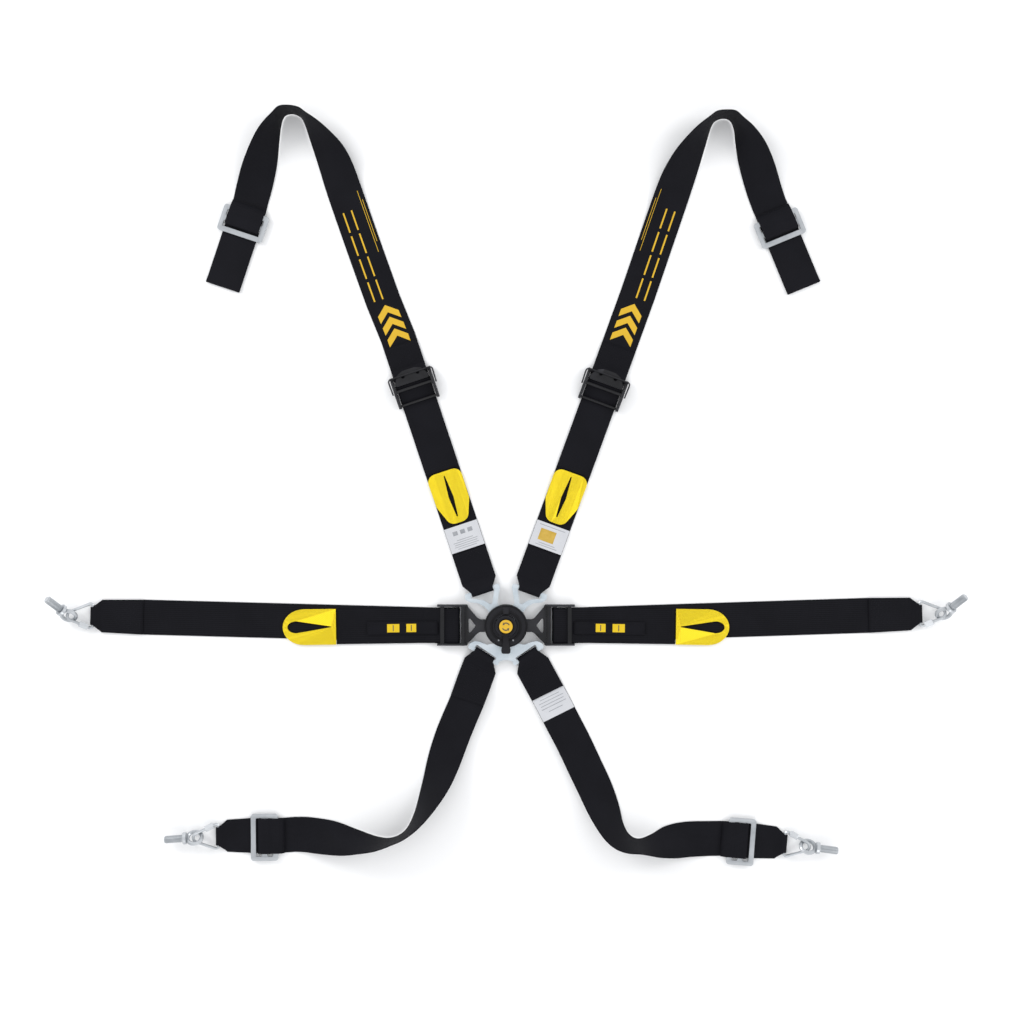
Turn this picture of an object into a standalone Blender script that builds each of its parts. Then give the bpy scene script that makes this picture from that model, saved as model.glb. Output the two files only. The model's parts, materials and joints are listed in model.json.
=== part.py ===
"""Six-point racing harness lying flat: a rotary cam-lock buckle, two shoulder straps, two lap
straps and two crotch straps in 50 mm webbing, with their adjusters, sliders and end fittings.

The origin is the centre of the buckle's back face. +Z points out of the buckle's front, +X to
the right lap strap and +Y to the shoulder straps. Dimensions are in millimetres times MM.
"""

import math

import bmesh
import bpy
from mathutils import Matrix, Vector

MM = 0.001

# Webbing
WIDTH = 50.0
THICK = 1.3
GAP = 0.3
LAYER = THICK + GAP
FLOOR_Z = THICK / 2
SECOND_Z = FLOOR_Z + LAYER

# Buckle
HOUSING_RADIUS = 30.5
HOUSING_WALL = 3.0
HOUSING_TOP = 22.0
BASE_RADIUS = 29.5
BASE_THICK = 2.5
KNOB_RADIUS = 15.5
KNOB_TOP = 27.0
CAP_RADIUS = 9.5
PIN_CIRCLE = 20.0
PIN_RADIUS = 2.5
PIN_HOLE = 3.2
TONGUE_LOW = 6.0
TONGUE_THICK = 3.0
TONGUE_MID = TONGUE_LOW + TONGUE_THICK / 2
STEM_HALF = 8.5
STEM_TIP = 13.5
SHOULDER_STEM_ANGLE = 54.6

# Webbing loops round the bars of the tongues
LOOP_BAR = 2.5
LOOP_RADIUS = 3.9
LOOP_WIDTH = 32.0

# Shoulder straps: place of the tongue's bar, direction of the strap from +X
SHOULDER_BAR = (34.0, 50.0)
SHOULDER_LEAN = {"left": 18.4, "right": 20.1}
ADJUSTER_AT = 312.0
FREE_END_AT = 179.5
PULL_LOOP_LONG = 76.0
TAIL_LONG = {"left": 93.5, "right": 90.0}

# Lap straps
LAP_RISE = {"left": 1.6, "right": 1.95}
LAP_FREE_RISE = -0.8
LAP_FRAME_Y = (-28.3, 30.1)
LAP_FRAME_IN = 55.0
LAP_FRAME_OUT = 98.0
LAP_BAR_X = 70.0
LAP_END = {"left": 590.0, "right": 591.0}
LAP_FREE_END = 242.0
LAP_SEWN_FROM = 519.0

# End fittings, and the webbing's fold round the link
EYE_Z = 3.9
EYE_RADIUS = 3.15
LINK_WIRE = 2.1
LINK_HALF = 19.0
LINK_LONG = 46.0
LINK_PITCH = 16.0
NUT_AT = 13.8
RING_AT = 23.0
RING_LIFT = 2.0
RING_WIRE = 2.9
RING_RADIUS = 10.2
RING_ROLL = 45.0
SHANK_SWING = {"lap": 54.0, "crotch": 4.0}
SHANK_RADIUS = 5.1
SHANK_LONG = 28.0
END_NARROWING = 24.5

# Crotch straps
CROTCH_BAR = (31.4, 42.5)
CROTCH_HEADING = 58.0
CROTCH_SLIDER = {"left": (-344.6, -300.5), "right": (335.7, -306.8)}
CROTCH_TAIL = {"left": 180.5, "right": -4.5}
CROTCH_TAIL_LONG = {"left": 66.0, "right": 62.0}
# how many points of each route carry the sewn second layer
SEWN_POINTS = {"left": 4, "right": 3}

COLOURS = {
    "webbing": ((0.012, 0.012, 0.016), 0.85, 0.0),
    "yellow_webbing": ((0.90, 0.62, 0.02), 0.8, 0.0),
    "label": ((0.85, 0.85, 0.83), 0.7, 0.0),
    "black_plastic": ((0.02, 0.02, 0.022), 0.45, 0.0),
    "black_metal": ((0.02, 0.02, 0.022), 0.35, 0.6),
    "yellow_plastic": ((0.92, 0.60, 0.02), 0.35, 0.0),
    "alloy": ((0.66, 0.70, 0.74), 0.35, 0.9),
    "zinc": ((0.55, 0.58, 0.60), 0.3, 1.0),
}

collection = None
materials = {}


def start():
    """Empty the scene and make the collection and the materials."""
    global collection
    for thing in list(bpy.data.objects):
        bpy.data.objects.remove(thing, do_unlink=True)
    collection = bpy.data.collections.new("racing_harness")
    bpy.context.scene.collection.children.link(collection)
    for name, (colour, roughness, metallic) in COLOURS.items():
        material = bpy.data.materials.new(name)
        material.use_nodes = True
        shader = material.node_tree.nodes["Principled BSDF"]
        shader.inputs["Base Color"].default_value = (*colour, 1.0)
        shader.inputs["Roughness"].default_value = roughness
        shader.inputs["Metallic"].default_value = metallic
        material.diffuse_color = (*colour, 1.0)
        materials[name] = material


def axis_empty(name, place, heading=0.0, parent=None):
    """An empty at a world place in millimetres, its X axis turned by heading degrees."""
    empty = bpy.data.objects.new(name, None)
    collection.objects.link(empty)
    matrix = Matrix.Translation(Vector(place) * MM) @ Matrix.Rotation(math.radians(heading), 4, "Z")
    empty.parent = parent
    if parent:
        empty.matrix_basis = world_of(parent).inverted() @ matrix
    else:
        empty.matrix_basis = matrix
    return empty


def world_of(thing):
    """The world matrix worked out from the parents, without waiting for an update."""
    if thing.parent:
        return world_of(thing.parent) @ thing.matrix_basis
    return thing.matrix_basis.copy()


def add(name, data, material, parent=None):
    """A named object of the harness with its material."""
    thing = bpy.data.objects.new(name, data)
    thing.data.materials.append(materials[material])
    collection.objects.link(thing)
    thing.parent = parent
    return thing


def to_mesh(thing):
    """Turn an object into one closed mesh, with its modifiers applied."""
    graph = bpy.context.evaluated_depsgraph_get()
    mesh = bpy.data.meshes.new_from_object(thing.evaluated_get(graph), depsgraph=graph)
    work = bmesh.new()
    work.from_mesh(mesh)
    bmesh.ops.remove_doubles(work, verts=work.verts, dist=0.00001)
    bmesh.ops.recalc_face_normals(work, faces=work.faces)
    work.to_mesh(mesh)
    work.free()
    name = thing.name
    parent = thing.parent
    basis = thing.matrix_basis.copy()
    material = thing.data.materials[0].name
    bpy.data.objects.remove(thing, do_unlink=True)
    solid = add(name, mesh, material, parent)
    solid.matrix_basis = basis
    return solid


def rounded(points, radius, steps=3, closed=True):
    """The points with each corner turned into an arc; radius may be one number or a list."""
    radii = radius if isinstance(radius, list) else [radius] * len(points)
    result = []
    for number, (x, y) in enumerate(points):
        if not closed and number in (0, len(points) - 1):
            result.append((x, y))
            continue
        here = Vector((x, y))
        back = Vector(points[number - 1]) - here
        ahead = Vector(points[(number + 1) % len(points)]) - here
        angle = back.angle(ahead)
        if radii[number] <= 0 or angle > math.radians(176):
            result.append((x, y))
            continue
        reach = min(radii[number] / math.tan(angle / 2), back.length * 0.49, ahead.length * 0.49)
        true_radius = reach * math.tan(angle / 2)
        centre = here + (back.normalized() + ahead.normalized()).normalized() * (
            true_radius / math.sin(angle / 2)
        )
        first = here + back.normalized() * reach - centre
        last = here + ahead.normalized() * reach - centre
        sweep = first.angle_signed(last)
        for step in range(steps + 1):
            turned = first.copy()
            turned.rotate(Matrix.Rotation(-sweep * step / steps, 2))
            result.append(tuple(centre + turned))
    return result


def plate(name, outline, low, thick, material, parent=None, holes=(), bevel=0.0):
    """A flat plate from a 2D curve: its outline and holes, extruded from low by thick."""
    curve = bpy.data.curves.new(name, "CURVE")
    curve.dimensions = "2D"
    curve.fill_mode = "BOTH"
    curve.extrude = thick / 2 * MM
    for loop in (outline, *holes):
        spline = curve.splines.new("POLY")
        spline.points.add(len(loop) - 1)
        for point, (x, y) in zip(spline.points, loop, strict=True):
            point.co = (x * MM, y * MM, 0, 1)
        spline.use_cyclic_u = True
    thing = add(name, curve, material, parent)
    thing.location.z = (low + thick / 2) * MM
    solid = to_mesh(thing)
    if bevel:
        edge = solid.modifiers.new("edge", "BEVEL")
        edge.width = bevel * MM
        edge.segments = 1
        edge.limit_method = "ANGLE"
        edge.angle_limit = math.radians(50)
    return solid


def wire(name, points, radius, material, parent=None, closed=False, resolution=2):
    """A round wire along points in millimetres."""
    curve = bpy.data.curves.new(name, "CURVE")
    curve.dimensions = "3D"
    curve.bevel_depth = radius * MM
    curve.bevel_resolution = resolution
    curve.use_fill_caps = not closed
    spline = curve.splines.new("POLY")
    spline.points.add(len(points) - 1)
    for point, place in zip(spline.points, points, strict=True):
        point.co = (*(Vector(place) * MM), 1)
    spline.use_cyclic_u = closed
    return to_mesh(add(name, curve, material, parent))


def cylinder(name, radius, low, high, material, parent=None, sides=24, place=(0.0, 0.0), bevel=0.0):
    """An upright round bar."""
    work = bmesh.new()
    middle = Matrix.Translation(Vector((place[0], place[1], (low + high) / 2)) * MM)
    bmesh.ops.create_cone(
        work,
        cap_ends=True,
        segments=sides,
        radius1=radius * MM,
        radius2=radius * MM,
        depth=(high - low) * MM,
        matrix=middle,
    )
    mesh = bpy.data.meshes.new(name)
    work.to_mesh(mesh)
    work.free()
    thing = add(name, mesh, material, parent)
    if bevel:
        edge = thing.modifiers.new("edge", "BEVEL")
        edge.width = bevel * MM
        edge.segments = 1
        edge.limit_method = "ANGLE"
        edge.angle_limit = math.radians(50)
    return thing


def box(name, low, high, material, parent=None, bevel=0.0):
    """A box between two corners."""
    work = bmesh.new()
    size = Vector(high) - Vector(low)
    middle = (Vector(high) + Vector(low)) / 2
    matrix = Matrix.Translation(middle * MM) @ Matrix.Diagonal((*(size * MM), 1.0))
    bmesh.ops.create_cube(work, size=1.0, matrix=matrix)
    mesh = bpy.data.meshes.new(name)
    work.to_mesh(mesh)
    work.free()
    thing = add(name, mesh, material, parent)
    if bevel:
        edge = thing.modifiers.new("edge", "BEVEL")
        edge.width = bevel * MM
        edge.segments = 1
    return thing


def turned(name, profile, material, parent=None, steps=32):
    """A turned shape: a profile of (radius, height), down its outer side first, closed on itself."""
    work = bmesh.new()
    corners = [work.verts.new((r * MM, 0.0, z * MM)) for r, z in profile]
    for number in range(len(corners)):
        if profile[number][0] > 0 or profile[(number + 1) % len(corners)][0] > 0:
            work.edges.new((corners[number], corners[(number + 1) % len(corners)]))
    mesh = bpy.data.meshes.new(name)
    work.to_mesh(mesh)
    work.free()
    thing = add(name, mesh, material, parent)
    screw = thing.modifiers.new("turn", "SCREW")
    screw.steps = steps
    screw.render_steps = steps
    screw.use_merge_vertices = True
    screw.merge_threshold = 0.00005
    return to_mesh(thing)


def combine(solid, others, operation="UNION"):
    """Add the other objects to solid, or cut them from it, and remove them."""
    for other in others:
        bpy.context.view_layer.update()
        change = solid.modifiers.new("change", "BOOLEAN")
        change.operation = operation
        change.solver = "EXACT"
        change.object = other
        bpy.context.view_layer.update()
        solid = to_mesh(solid)
        bpy.data.objects.remove(other, do_unlink=True)
    return solid


def along(points, steps=3, radius=2.0):
    """A side profile of a strap with its corners rounded, as (distance, height) pairs."""
    return rounded(points, radius, steps, closed=False)


def ribbon(name, rows, material, parent=None, thick=THICK):
    """A strap from rows of (left edge, right edge) in world millimetres, swept edge by edge."""
    into = world_of(parent).inverted() if parent else Matrix.Identity(4)
    work = bmesh.new()
    first = [work.verts.new(into @ (Vector(point) * MM)) for point in rows[0]]
    edge = work.edges.new(first)
    for row in rows[1:]:
        made = bmesh.ops.extrude_edge_only(work, edges=[edge])["geom"]
        edge = next(item for item in made if isinstance(item, bmesh.types.BMEdge))
        left = first[0].co.copy()
        first = [item for item in made if isinstance(item, bmesh.types.BMVert)]
        first.sort(key=lambda vert: (vert.co - left).length)
        for vert, point in zip(first, row, strict=True):
            vert.co = into @ (Vector(point) * MM)
    bmesh.ops.recalc_face_normals(work, faces=work.faces)
    mesh = bpy.data.meshes.new(name)
    work.to_mesh(mesh)
    work.free()
    thing = add(name, mesh, material, parent)
    skin = thing.modifiers.new("thickness", "SOLIDIFY")
    skin.thickness = thick * MM
    skin.offset = 0.0
    skin.use_even_offset = True
    return to_mesh(thing)


def straight_rows(profile, place, heading, width=lambda s: WIDTH):
    """Rows of a straight strap: profile of (s, z), from place along heading degrees from +X."""
    ahead = Vector((math.cos(math.radians(heading)), math.sin(math.radians(heading)), 0))
    side = Vector((ahead.y, -ahead.x, 0))
    rows = []
    for s, z in profile:
        centre = Vector((place[0], place[1], 0)) + ahead * s + Vector((0, 0, z))
        rows.append((centre - side * width(s) / 2, centre + side * width(s) / 2))
    return rows


def bend_rows(route, outer_first, above=0.0):
    """Rows of a strap on edge: route of (x, y, outward direction, tilt) at its lower edge."""
    rows = []
    for x, y, direction, tilt in smooth(route, 2):
        turn, lift = math.radians(direction), math.radians(max(0.0, tilt))
        lower = Vector((x, y, FLOOR_Z + 0.5 * math.sin(lift)))
        out = Vector((math.cos(turn) * math.cos(lift), math.sin(turn) * math.cos(lift), math.sin(lift)))
        face = (-math.cos(turn) * math.sin(lift), -math.sin(turn) * math.sin(lift), math.cos(lift))
        lower += above * Vector(face)
        upper = lower + out * WIDTH
        rows.append((upper, lower) if outer_first else (lower, upper))
    return rows


def smooth(route, steps):
    """Catmull-Rom points between the points of a route."""
    result = []
    for number in range(len(route) - 1):
        p = [Vector(route[max(0, min(len(route) - 1, number + k))]) for k in (-1, 0, 1, 2)]
        for step in range(steps):
            t = step / steps
            result.append(
                0.5
                * (
                    2 * p[1]
                    + (p[2] - p[0]) * t
                    + (2 * p[0] - 5 * p[1] + 4 * p[2] - p[3]) * t**2
                    + (3 * p[1] - p[0] - 3 * p[2] + p[3]) * t**3
                )
            )
    result.append(Vector(route[-1]))
    return result


def arc(centre, radius, start_angle, end_angle, steps=8):
    """Points of an arc in a side profile."""
    points = []
    for step in range(steps + 1):
        turn = math.radians(start_angle + (end_angle - start_angle) * step / steps)
        points.append((centre[0] + radius * math.cos(turn), centre[1] + radius * math.sin(turn)))
    return points


def widening(narrow, begin, end):
    """A width that grows from narrow to full between two distances."""

    def width(s):
        share = min(1.0, max(0.0, (s - begin) / (end - begin)))
        return narrow + (WIDTH - narrow) * math.sin(share * math.pi / 2)

    return width


# ---------------------------------------------------------------- buckle


def buckle(root):
    """The cam-lock: back plate, housing, spindle, spring, knob, cap, pins and stop."""
    cylinder("buckle_base", BASE_RADIUS, 0, BASE_THICK, "black_metal", root, 48, bevel=0.6)
    inner = HOUSING_RADIUS - HOUSING_WALL
    low = BASE_THICK + GAP
    housing = turned(
        "buckle_housing",
        [
            (KNOB_RADIUS + 0.8, HOUSING_TOP),
            (HOUSING_RADIUS - 4.0, HOUSING_TOP),
            (HOUSING_RADIUS - 1.2, HOUSING_TOP - 1.0),
            (HOUSING_RADIUS, HOUSING_TOP - 4.0),
            (HOUSING_RADIUS, low),
            (inner, low),
            (inner, HOUSING_TOP - 4.0),
            (KNOB_RADIUS + 0.8, HOUSING_TOP - 4.0),
        ],
        "black_plastic",
        root,
        48,
    )
    slots = []
    for number, angle in enumerate((0, 180, 270, 90 - 35.4, 90 + 35.4)):
        half = STEM_HALF + 1.0 if angle != 270 else 19.0
        slot = box(
            f"slot_{number}",
            (inner - 6, -half, TONGUE_LOW - 0.5),
            (HOUSING_RADIUS + 4, half, TONGUE_LOW + TONGUE_THICK + 0.5),
            "black_plastic",
            root,
        )
        slot.rotation_euler.z = math.radians(angle)
        slots.append(slot)
    combine(housing, slots, "DIFFERENCE")
    cylinder("spindle", 4.0, BASE_THICK + GAP, KNOB_TOP - 10.0, "zinc", root, 20)
    turns, points_each = 3, 14
    coil = []
    for number in range(turns * points_each + 1):
        angle = 2 * math.pi * number / points_each
        coil.append((6.2 * math.cos(angle), 6.2 * math.sin(angle), 10.5 + 1.9 * number / points_each))
    wire("detent_spring", coil, 0.6, "zinc", root, resolution=1)
    cylinder(
        "lap_retaining_pin",
        PIN_RADIUS,
        BASE_THICK + GAP,
        TONGUE_LOW + TONGUE_THICK + 3.0,
        "zinc",
        root,
        16,
        (-PIN_CIRCLE, 0),
    )
    stop_low, stop_high = (-4, 17.2, HOUSING_TOP + GAP), (4, 26.5, HOUSING_TOP + 2.2)
    box("index_stop", stop_low, stop_high, "black_plastic", root, 0.5)

    turn = axis_empty("knob_axis", (0, 0, 0), parent=root)
    knob = turned(
        "release_knob",
        [
            (0, KNOB_TOP - 1.5),
            (11.2, KNOB_TOP - 1.5),
            (11.2, KNOB_TOP),
            (KNOB_RADIUS - 1.0, KNOB_TOP),
            (KNOB_RADIUS, KNOB_TOP - 1.2),
            (KNOB_RADIUS, HOUSING_TOP - 6.0),
            (0, HOUSING_TOP - 4.0),
        ],
        "black_plastic",
        turn,
        40,
    )
    right_edge = [(3.8, -10), (4.2, -24), (6.6, -33), (6.2, -38.5)]
    left_edge = [(-x, y) for x, y in reversed(right_edge)]
    lever = plate(
        "lever",
        rounded(left_edge[-1:] + right_edge + left_edge[:-1], 2.5, 2),
        HOUSING_TOP + 0.5,
        KNOB_TOP - HOUSING_TOP - 0.2,
        "black_plastic",
        turn,
        bevel=0.8,
    )
    combine(knob, [lever])
    cap_low, cap_high = KNOB_TOP - 1.2, KNOB_TOP + 1.3
    cylinder("knob_cap", CAP_RADIUS, cap_low, cap_high, "yellow_plastic", turn, 36, bevel=0.5)

    for name, angle in (
        ("lock_pin_lap", 0.0),
        ("lock_pin_crotch", 270.0),
        ("lock_pin_shoulder_right", SHOULDER_STEM_ANGLE),
        ("lock_pin_shoulder_left", 180.0 - SHOULDER_STEM_ANGLE),
    ):
        place = (
            PIN_CIRCLE * math.cos(math.radians(angle)),
            PIN_CIRCLE * math.sin(math.radians(angle)),
        )
        lift = axis_empty(f"{name}_axis", (*place, 0), parent=root)
        low = TONGUE_LOW + TONGUE_THICK + GAP
        cylinder(name, PIN_RADIUS, low, HOUSING_TOP - 4.5, "zinc", lift, 16)


# ---------------------------------------------------------------- tongues


def circle(centre, radius, sides=12):
    """The outline of a round hole."""
    angles = [math.tau * k / sides for k in range(sides)]
    return [(centre[0] + radius * math.cos(a), centre[1] + radius * math.sin(a)) for a in angles]


def pin_hole(angle):
    """A round hole on the circle of the lock pins."""
    turn = math.radians(angle)
    return circle((PIN_CIRCLE * math.cos(turn), PIN_CIRCLE * math.sin(turn)), PIN_HOLE)


def local(points, origin, heading):
    """Points measured from origin along and across heading, as world points."""
    turn = math.radians(heading)
    result = []
    for u, v in points:
        result.append(
            (
                origin[0] + u * math.cos(turn) - v * math.sin(turn),
                origin[1] + u * math.sin(turn) + v * math.cos(turn),
            )
        )
    return result


def mirrored(points, side):
    """World points of the left side, mirrored for the right."""
    return [(-x, y) for x, y in points] if side == "right" else list(points)


def shoulder_tongue(side, parent):
    """A Y-shaped alloy tongue, whose far bar carries the shoulder webbing."""
    bar = (-SHOULDER_BAR[0], SHOULDER_BAR[1])
    lean = SHOULDER_LEAN["left"]
    near = local([(25.5, LOOP_BAR), (26.0, -3), (20.0, -14)], bar, lean)
    far = [(-4, -22.5), (-10.5, -15.8), (-21.5, -10.5), (-26.5, -5.5), (-25.5, LOOP_BAR)]
    far = local(far, bar, lean)
    stem = 180.0 - SHOULDER_STEM_ANGLE
    axis = (math.cos(math.radians(stem)), math.sin(math.radians(stem)))
    across = (axis[1], -axis[0])
    inside = []
    for along_axis, off in (
        (33.0, STEM_HALF), (20.0, STEM_HALF - 0.2), (STEM_TIP, STEM_HALF - 3.5),
        (STEM_TIP, 3.5 - STEM_HALF), (20.0, 0.2 - STEM_HALF), (30.0, -STEM_HALF),
    ):
        x = axis[0] * along_axis + across[0] * off
        y = axis[1] * along_axis + across[1] * off
        inside.append((x, y))
    hole = [
        (17.8, -LOOP_BAR), (8.0, -22.0), (4.5, -22.0), (-2.5, -13.5), (-11, -9.0), (-17.8, -7.0),
        (-17.8, -LOOP_BAR),
    ]
    hole = local(hole, bar, lean)
    radii = [2, 3, 12, 6, 1, 2, 2, 1, 8, 10, 10, 8, 3, 2]
    plate(
        f"shoulder_tongue_{side}",
        mirrored(rounded(near + inside + far, radii, 3), side),
        TONGUE_LOW,
        TONGUE_THICK,
        "alloy",
        parent,
        [mirrored(rounded(hole, [1, 2, 2, 5, 5, 1, 1], 2), side), mirrored(pin_hole(stem), side)],
        bevel=0.5,
    )


def lap_tongue(side, parent):
    """A black tongue in one piece with the lap adjuster's frame."""
    low, high = LAP_FRAME_Y
    way = -1 if side == "left" else 1
    outline = [
        (STEM_TIP, -5.0), (20.0, -8.2), (24.0, -9), (37, -9), (41, -11.5), (54, low + 3.3),
        (LAP_FRAME_IN, low), (64, low), (64, high), (LAP_FRAME_IN, high), (54, high - 3.3),
        (41, 11.5), (37, 9), (24.0, 9), (20.0, 8.2), (STEM_TIP, 5.0),
    ]
    triangle = [(43.2, 0), (53.2, 13), (53.2, -13)]
    holes = [rounded(triangle, 1.5, 2), pin_hole(0)]
    loops = [[(way * x, y) for x, y in loop] for loop in (rounded(outline, 2.0, 2), *holes)]
    name = f"lap_tongue_{side}"
    body = plate(name, loops[0], TONGUE_LOW, TONGUE_THICK, "black_metal", parent, loops[1:])
    rails = []
    for rail, x_low, x_high, y_low, y_high, z_low, z_high in (
        ("lower_rail", LAP_FRAME_IN + 1, LAP_FRAME_OUT, low, low + 2.8, 0.6, 12.2),
        ("upper_rail", LAP_FRAME_IN + 1, LAP_FRAME_OUT, high - 2.8, high, 0.6, 12.2),
        ("front_bar", 59, 64, low + 1, high - 1, 8, 12.0),
        ("rear_bar", 88, 93.5, low + 1, high - 1, 9.6, 12.0),
    ):
        x_low, x_high = sorted((way * x_low, way * x_high))
        low_corner, high_corner = (x_low, y_low, z_low), (x_high, y_high, z_high)
        rails.append(box(rail, low_corner, high_corner, "black_metal", parent))
    combine(body, rails)


def crotch_plate(parent):
    """The alloy plate under the buckle that carries both crotch straps."""
    bar = (-CROTCH_BAR[0], -CROTCH_BAR[1])
    heading = CROTCH_HEADING - 90.0
    arm = [(25.5, -LOOP_BAR), (-25.5, -LOOP_BAR), (-26.5, 3.5), (-22, 10.5), (-15, 13.5), (-4, 15.5)]
    stem = [(-11.0, -24.0), (-11.0, -STEM_TIP - 2), (-8.5, -STEM_TIP)]
    left = [(-3.0, -49.0), (-9.5, -51.0)] + local(arm, bar, heading) + stem
    points = left + [(-x, y) for x, y in reversed(left)]
    slot = local([(17.0, LOOP_BAR), (17.0, 6.5), (-17.0, 8.0), (-17.0, LOOP_BAR)], bar, heading)
    slot_right = [(-x, y) for x, y in slot]
    plate(
        "crotch_plate",
        rounded(points, 2.5, 3),
        TONGUE_LOW,
        TONGUE_THICK,
        "alloy",
        parent,
        [rounded(slot, 1.0, 2), rounded(slot_right, 1.0, 2), pin_hole(270)],
        bevel=0.5,
    )


# ---------------------------------------------------------------- shoulder straps


def shoulder(side, root):
    """One shoulder strap, from its tongue to the end of its tail."""
    sign = -1 if side == "left" else 1
    bar = (sign * SHOULDER_BAR[0], SHOULDER_BAR[1])
    lean = SHOULDER_LEAN[side]
    heading = 90 - sign * lean
    slide = axis_empty(f"shoulder_{side}_slide_axis", (0, 0, 0), parent=root)
    shoulder_tongue(side, slide)
    fold = axis_empty(f"shoulder_{side}_fold_axis", (*bar, TONGUE_MID), heading, slide)

    inner = LOOP_RADIUS + THICK / 2 - 0.1
    loop = arc((0, TONGUE_MID), inner, 80, 280, 9)
    roller_z = 5.0
    wrap = arc((ADJUSTER_AT, roller_z), 4.25, -90, 105, 9)
    profile = (
        along([(60, SECOND_Z), (16, SECOND_Z + 0.4), loop[0]])
        + loop[1:-1]
        + along([loop[-1], (14, FLOOR_Z), (296, FLOOR_Z), wrap[0]])
        + wrap[1:-1]
        + along([wrap[-1], (ADJUSTER_AT - 24, SECOND_Z), (FREE_END_AT, SECOND_Z)])
    )
    rows = straight_rows(profile, bar, heading, widening(LOOP_WIDTH, 2.0, 12.0))
    ribbon(f"shoulder_lower_webbing_{side}", rows, "webbing", fold)
    label_z = SECOND_Z - 0.2
    label = straight_rows([(62.5, label_z), (99.0, label_z)], bar, heading, lambda s: 48.0)
    ribbon(f"shoulder_label_{side}", label, "label", fold, 0.8)
    adjuster(side, bar, heading, fold, roller_z)
    pull_loop(f"shoulder_pull_loop_{side}", bar, heading, FREE_END_AT - 1.0, -1, fold)
    upper_webbing(side, bar, heading, fold)


def adjuster(side, bar, heading, fold, roller_z):
    """The tilting shoulder adjuster: frame, roller, release lever and wire bail."""
    turn = math.radians(heading)
    centre = (bar[0] + ADJUSTER_AT * math.cos(turn), bar[1] + ADJUSTER_AT * math.sin(turn))
    seat = axis_empty(f"adjuster_{side}_seat", (*centre, 0), heading, fold)
    cheeks = []
    for end in (-1, 1):
        low, high = sorted((end * 26.3, end * 30.3))
        outline = rounded([(-30, 2.2), (16, 0.8), (16, 9), (-2, 15), (-10, 15), (-30, 8.5)], 2.0, 2)
        cheek = plate(f"cheek_{end}", outline, low, high - low, "black_metal", seat)
        cheek.rotation_euler.x = math.radians(90)
        cheek.location = (0, (low + high) / 2 * MM, 0)
        cheeks.append(cheek)
    cheeks[0].name = f"shoulder_adjuster_frame_{side}"
    frame = cheeks[0]
    bars = [cheeks[1]]
    for name, s, z, radius in (
        ("rear_bar", 12.5, 4.9, 2.2),
        ("top_bar", -6.0, 12.4, 2.2),
        ("front_bar", -26.5, 5.6, 1.8),
    ):
        bars.append(wire(name, [(s, -28, z), (s, 28, z)], radius, "black_metal", seat))
    combine(frame, bars)
    name = f"shoulder_adjuster_roller_{side}"
    wire(name, [(0, -26, roller_z), (0, 26, roller_z)], 3.2, "black_metal", seat, resolution=3)

    pivot = axis_empty(f"adjuster_{side}_lever_axis", (centre[0], centre[1], 11.2), heading, fold)
    lower = [(1.0, -25.5), (7, -24.5), (17, -17.5), (20.5, -9)]
    outline = rounded(lower + [(s, -y) for s, y in reversed(lower)], 4.0, 3)
    holes = [circle((12.5, y), 2.6) for y in (-11, 11)]
    name = f"shoulder_adjuster_lever_{side}"
    plate(name, outline, -0.9, 1.8, "black_metal", pivot, holes, bevel=0.4)
    bail = [(-9.0, -32.2), (14.0, -33.0), (14.0, 33.0), (-9.0, 32.2)]
    points = [(s, y, 2.0) for s, y in rounded(bail, 4.0, 3, closed=False)]
    wire(f"shoulder_adjuster_bail_{side}", points, 1.1, "black_metal", pivot, resolution=1)


UPPER_ROUTE = {
    # lower edge x, y, direction to the upper edge, tilt of the strap
    "left": [
        (-199.7, 456.9, 19.0, 0), (-227.6, 535.0, 19.3, 0), (-255.0, 614.0, 19.3, 4),
        (-268.5, 658.0, 19, 24), (-279.5, 692.0, 21, 55), (-286.5, 714.0, 36, 78),
        (-292.5, 725.5, 62, 86), (-304.5, 731.0, 90, 90), (-316.5, 727.5, 118, 87),
        (-321.5, 714.0, 146, 79), (-324.0, 692.0, 158, 60), (-327.0, 660.0, 163, 36),
        (-333.5, 627.0, 164, 13), (-340.5, 602.0, 162.5, 0),
    ],
    "right": [
        (212.3, 465.2, 160.5, 0), (238.2, 541.0, 160.8, 0), (262.0, 611.0, 161.5, 8),
        (275.5, 653.0, 162, 31), (285.5, 687.0, 160, 58), (292.0, 709.5, 147, 79),
        (298.0, 720.0, 118, 86), (309.5, 724.5, 90, 90), (320.5, 721.0, 62, 87),
        (326.0, 708.0, 34, 79), (328.0, 690.0, 23, 60), (332.5, 660.0, 19.5, 32),
        (343.0, 621.0, 19.5, 8), (352.5, 594.0, 21.6, 0),
    ],
}
TAIL = {"left": ((-375.0, 574.0), 251.6), "right": ((391.0, 567.0), -67.6)}


def tail_profile(long, end):
    """A strap through a three-bar slider at 0 and round an end at long, and back over the slider."""
    inward = [
        (-26, FLOOR_Z), (-5.2, FLOOR_Z + 0.4), (-5.4, 7.6), (5.4, 7.6), (6.0, FLOOR_Z + 0.1),
        (18, FLOOR_Z),
    ]
    back = [
        (long - 9, SECOND_Z), (18, SECOND_Z), (8.4, SECOND_Z + 0.3), (7.8, 9.3), (-5.0, 9.3),
        (-10, 7.9), (-20, 7.7), (-28, 4.2),
    ]
    round_end = arc((long, end + FLOOR_Z), end, -90, 90, 8)
    return along(inward, 2, 1.3) + round_end + along(back, 2, 1.3)


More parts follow.
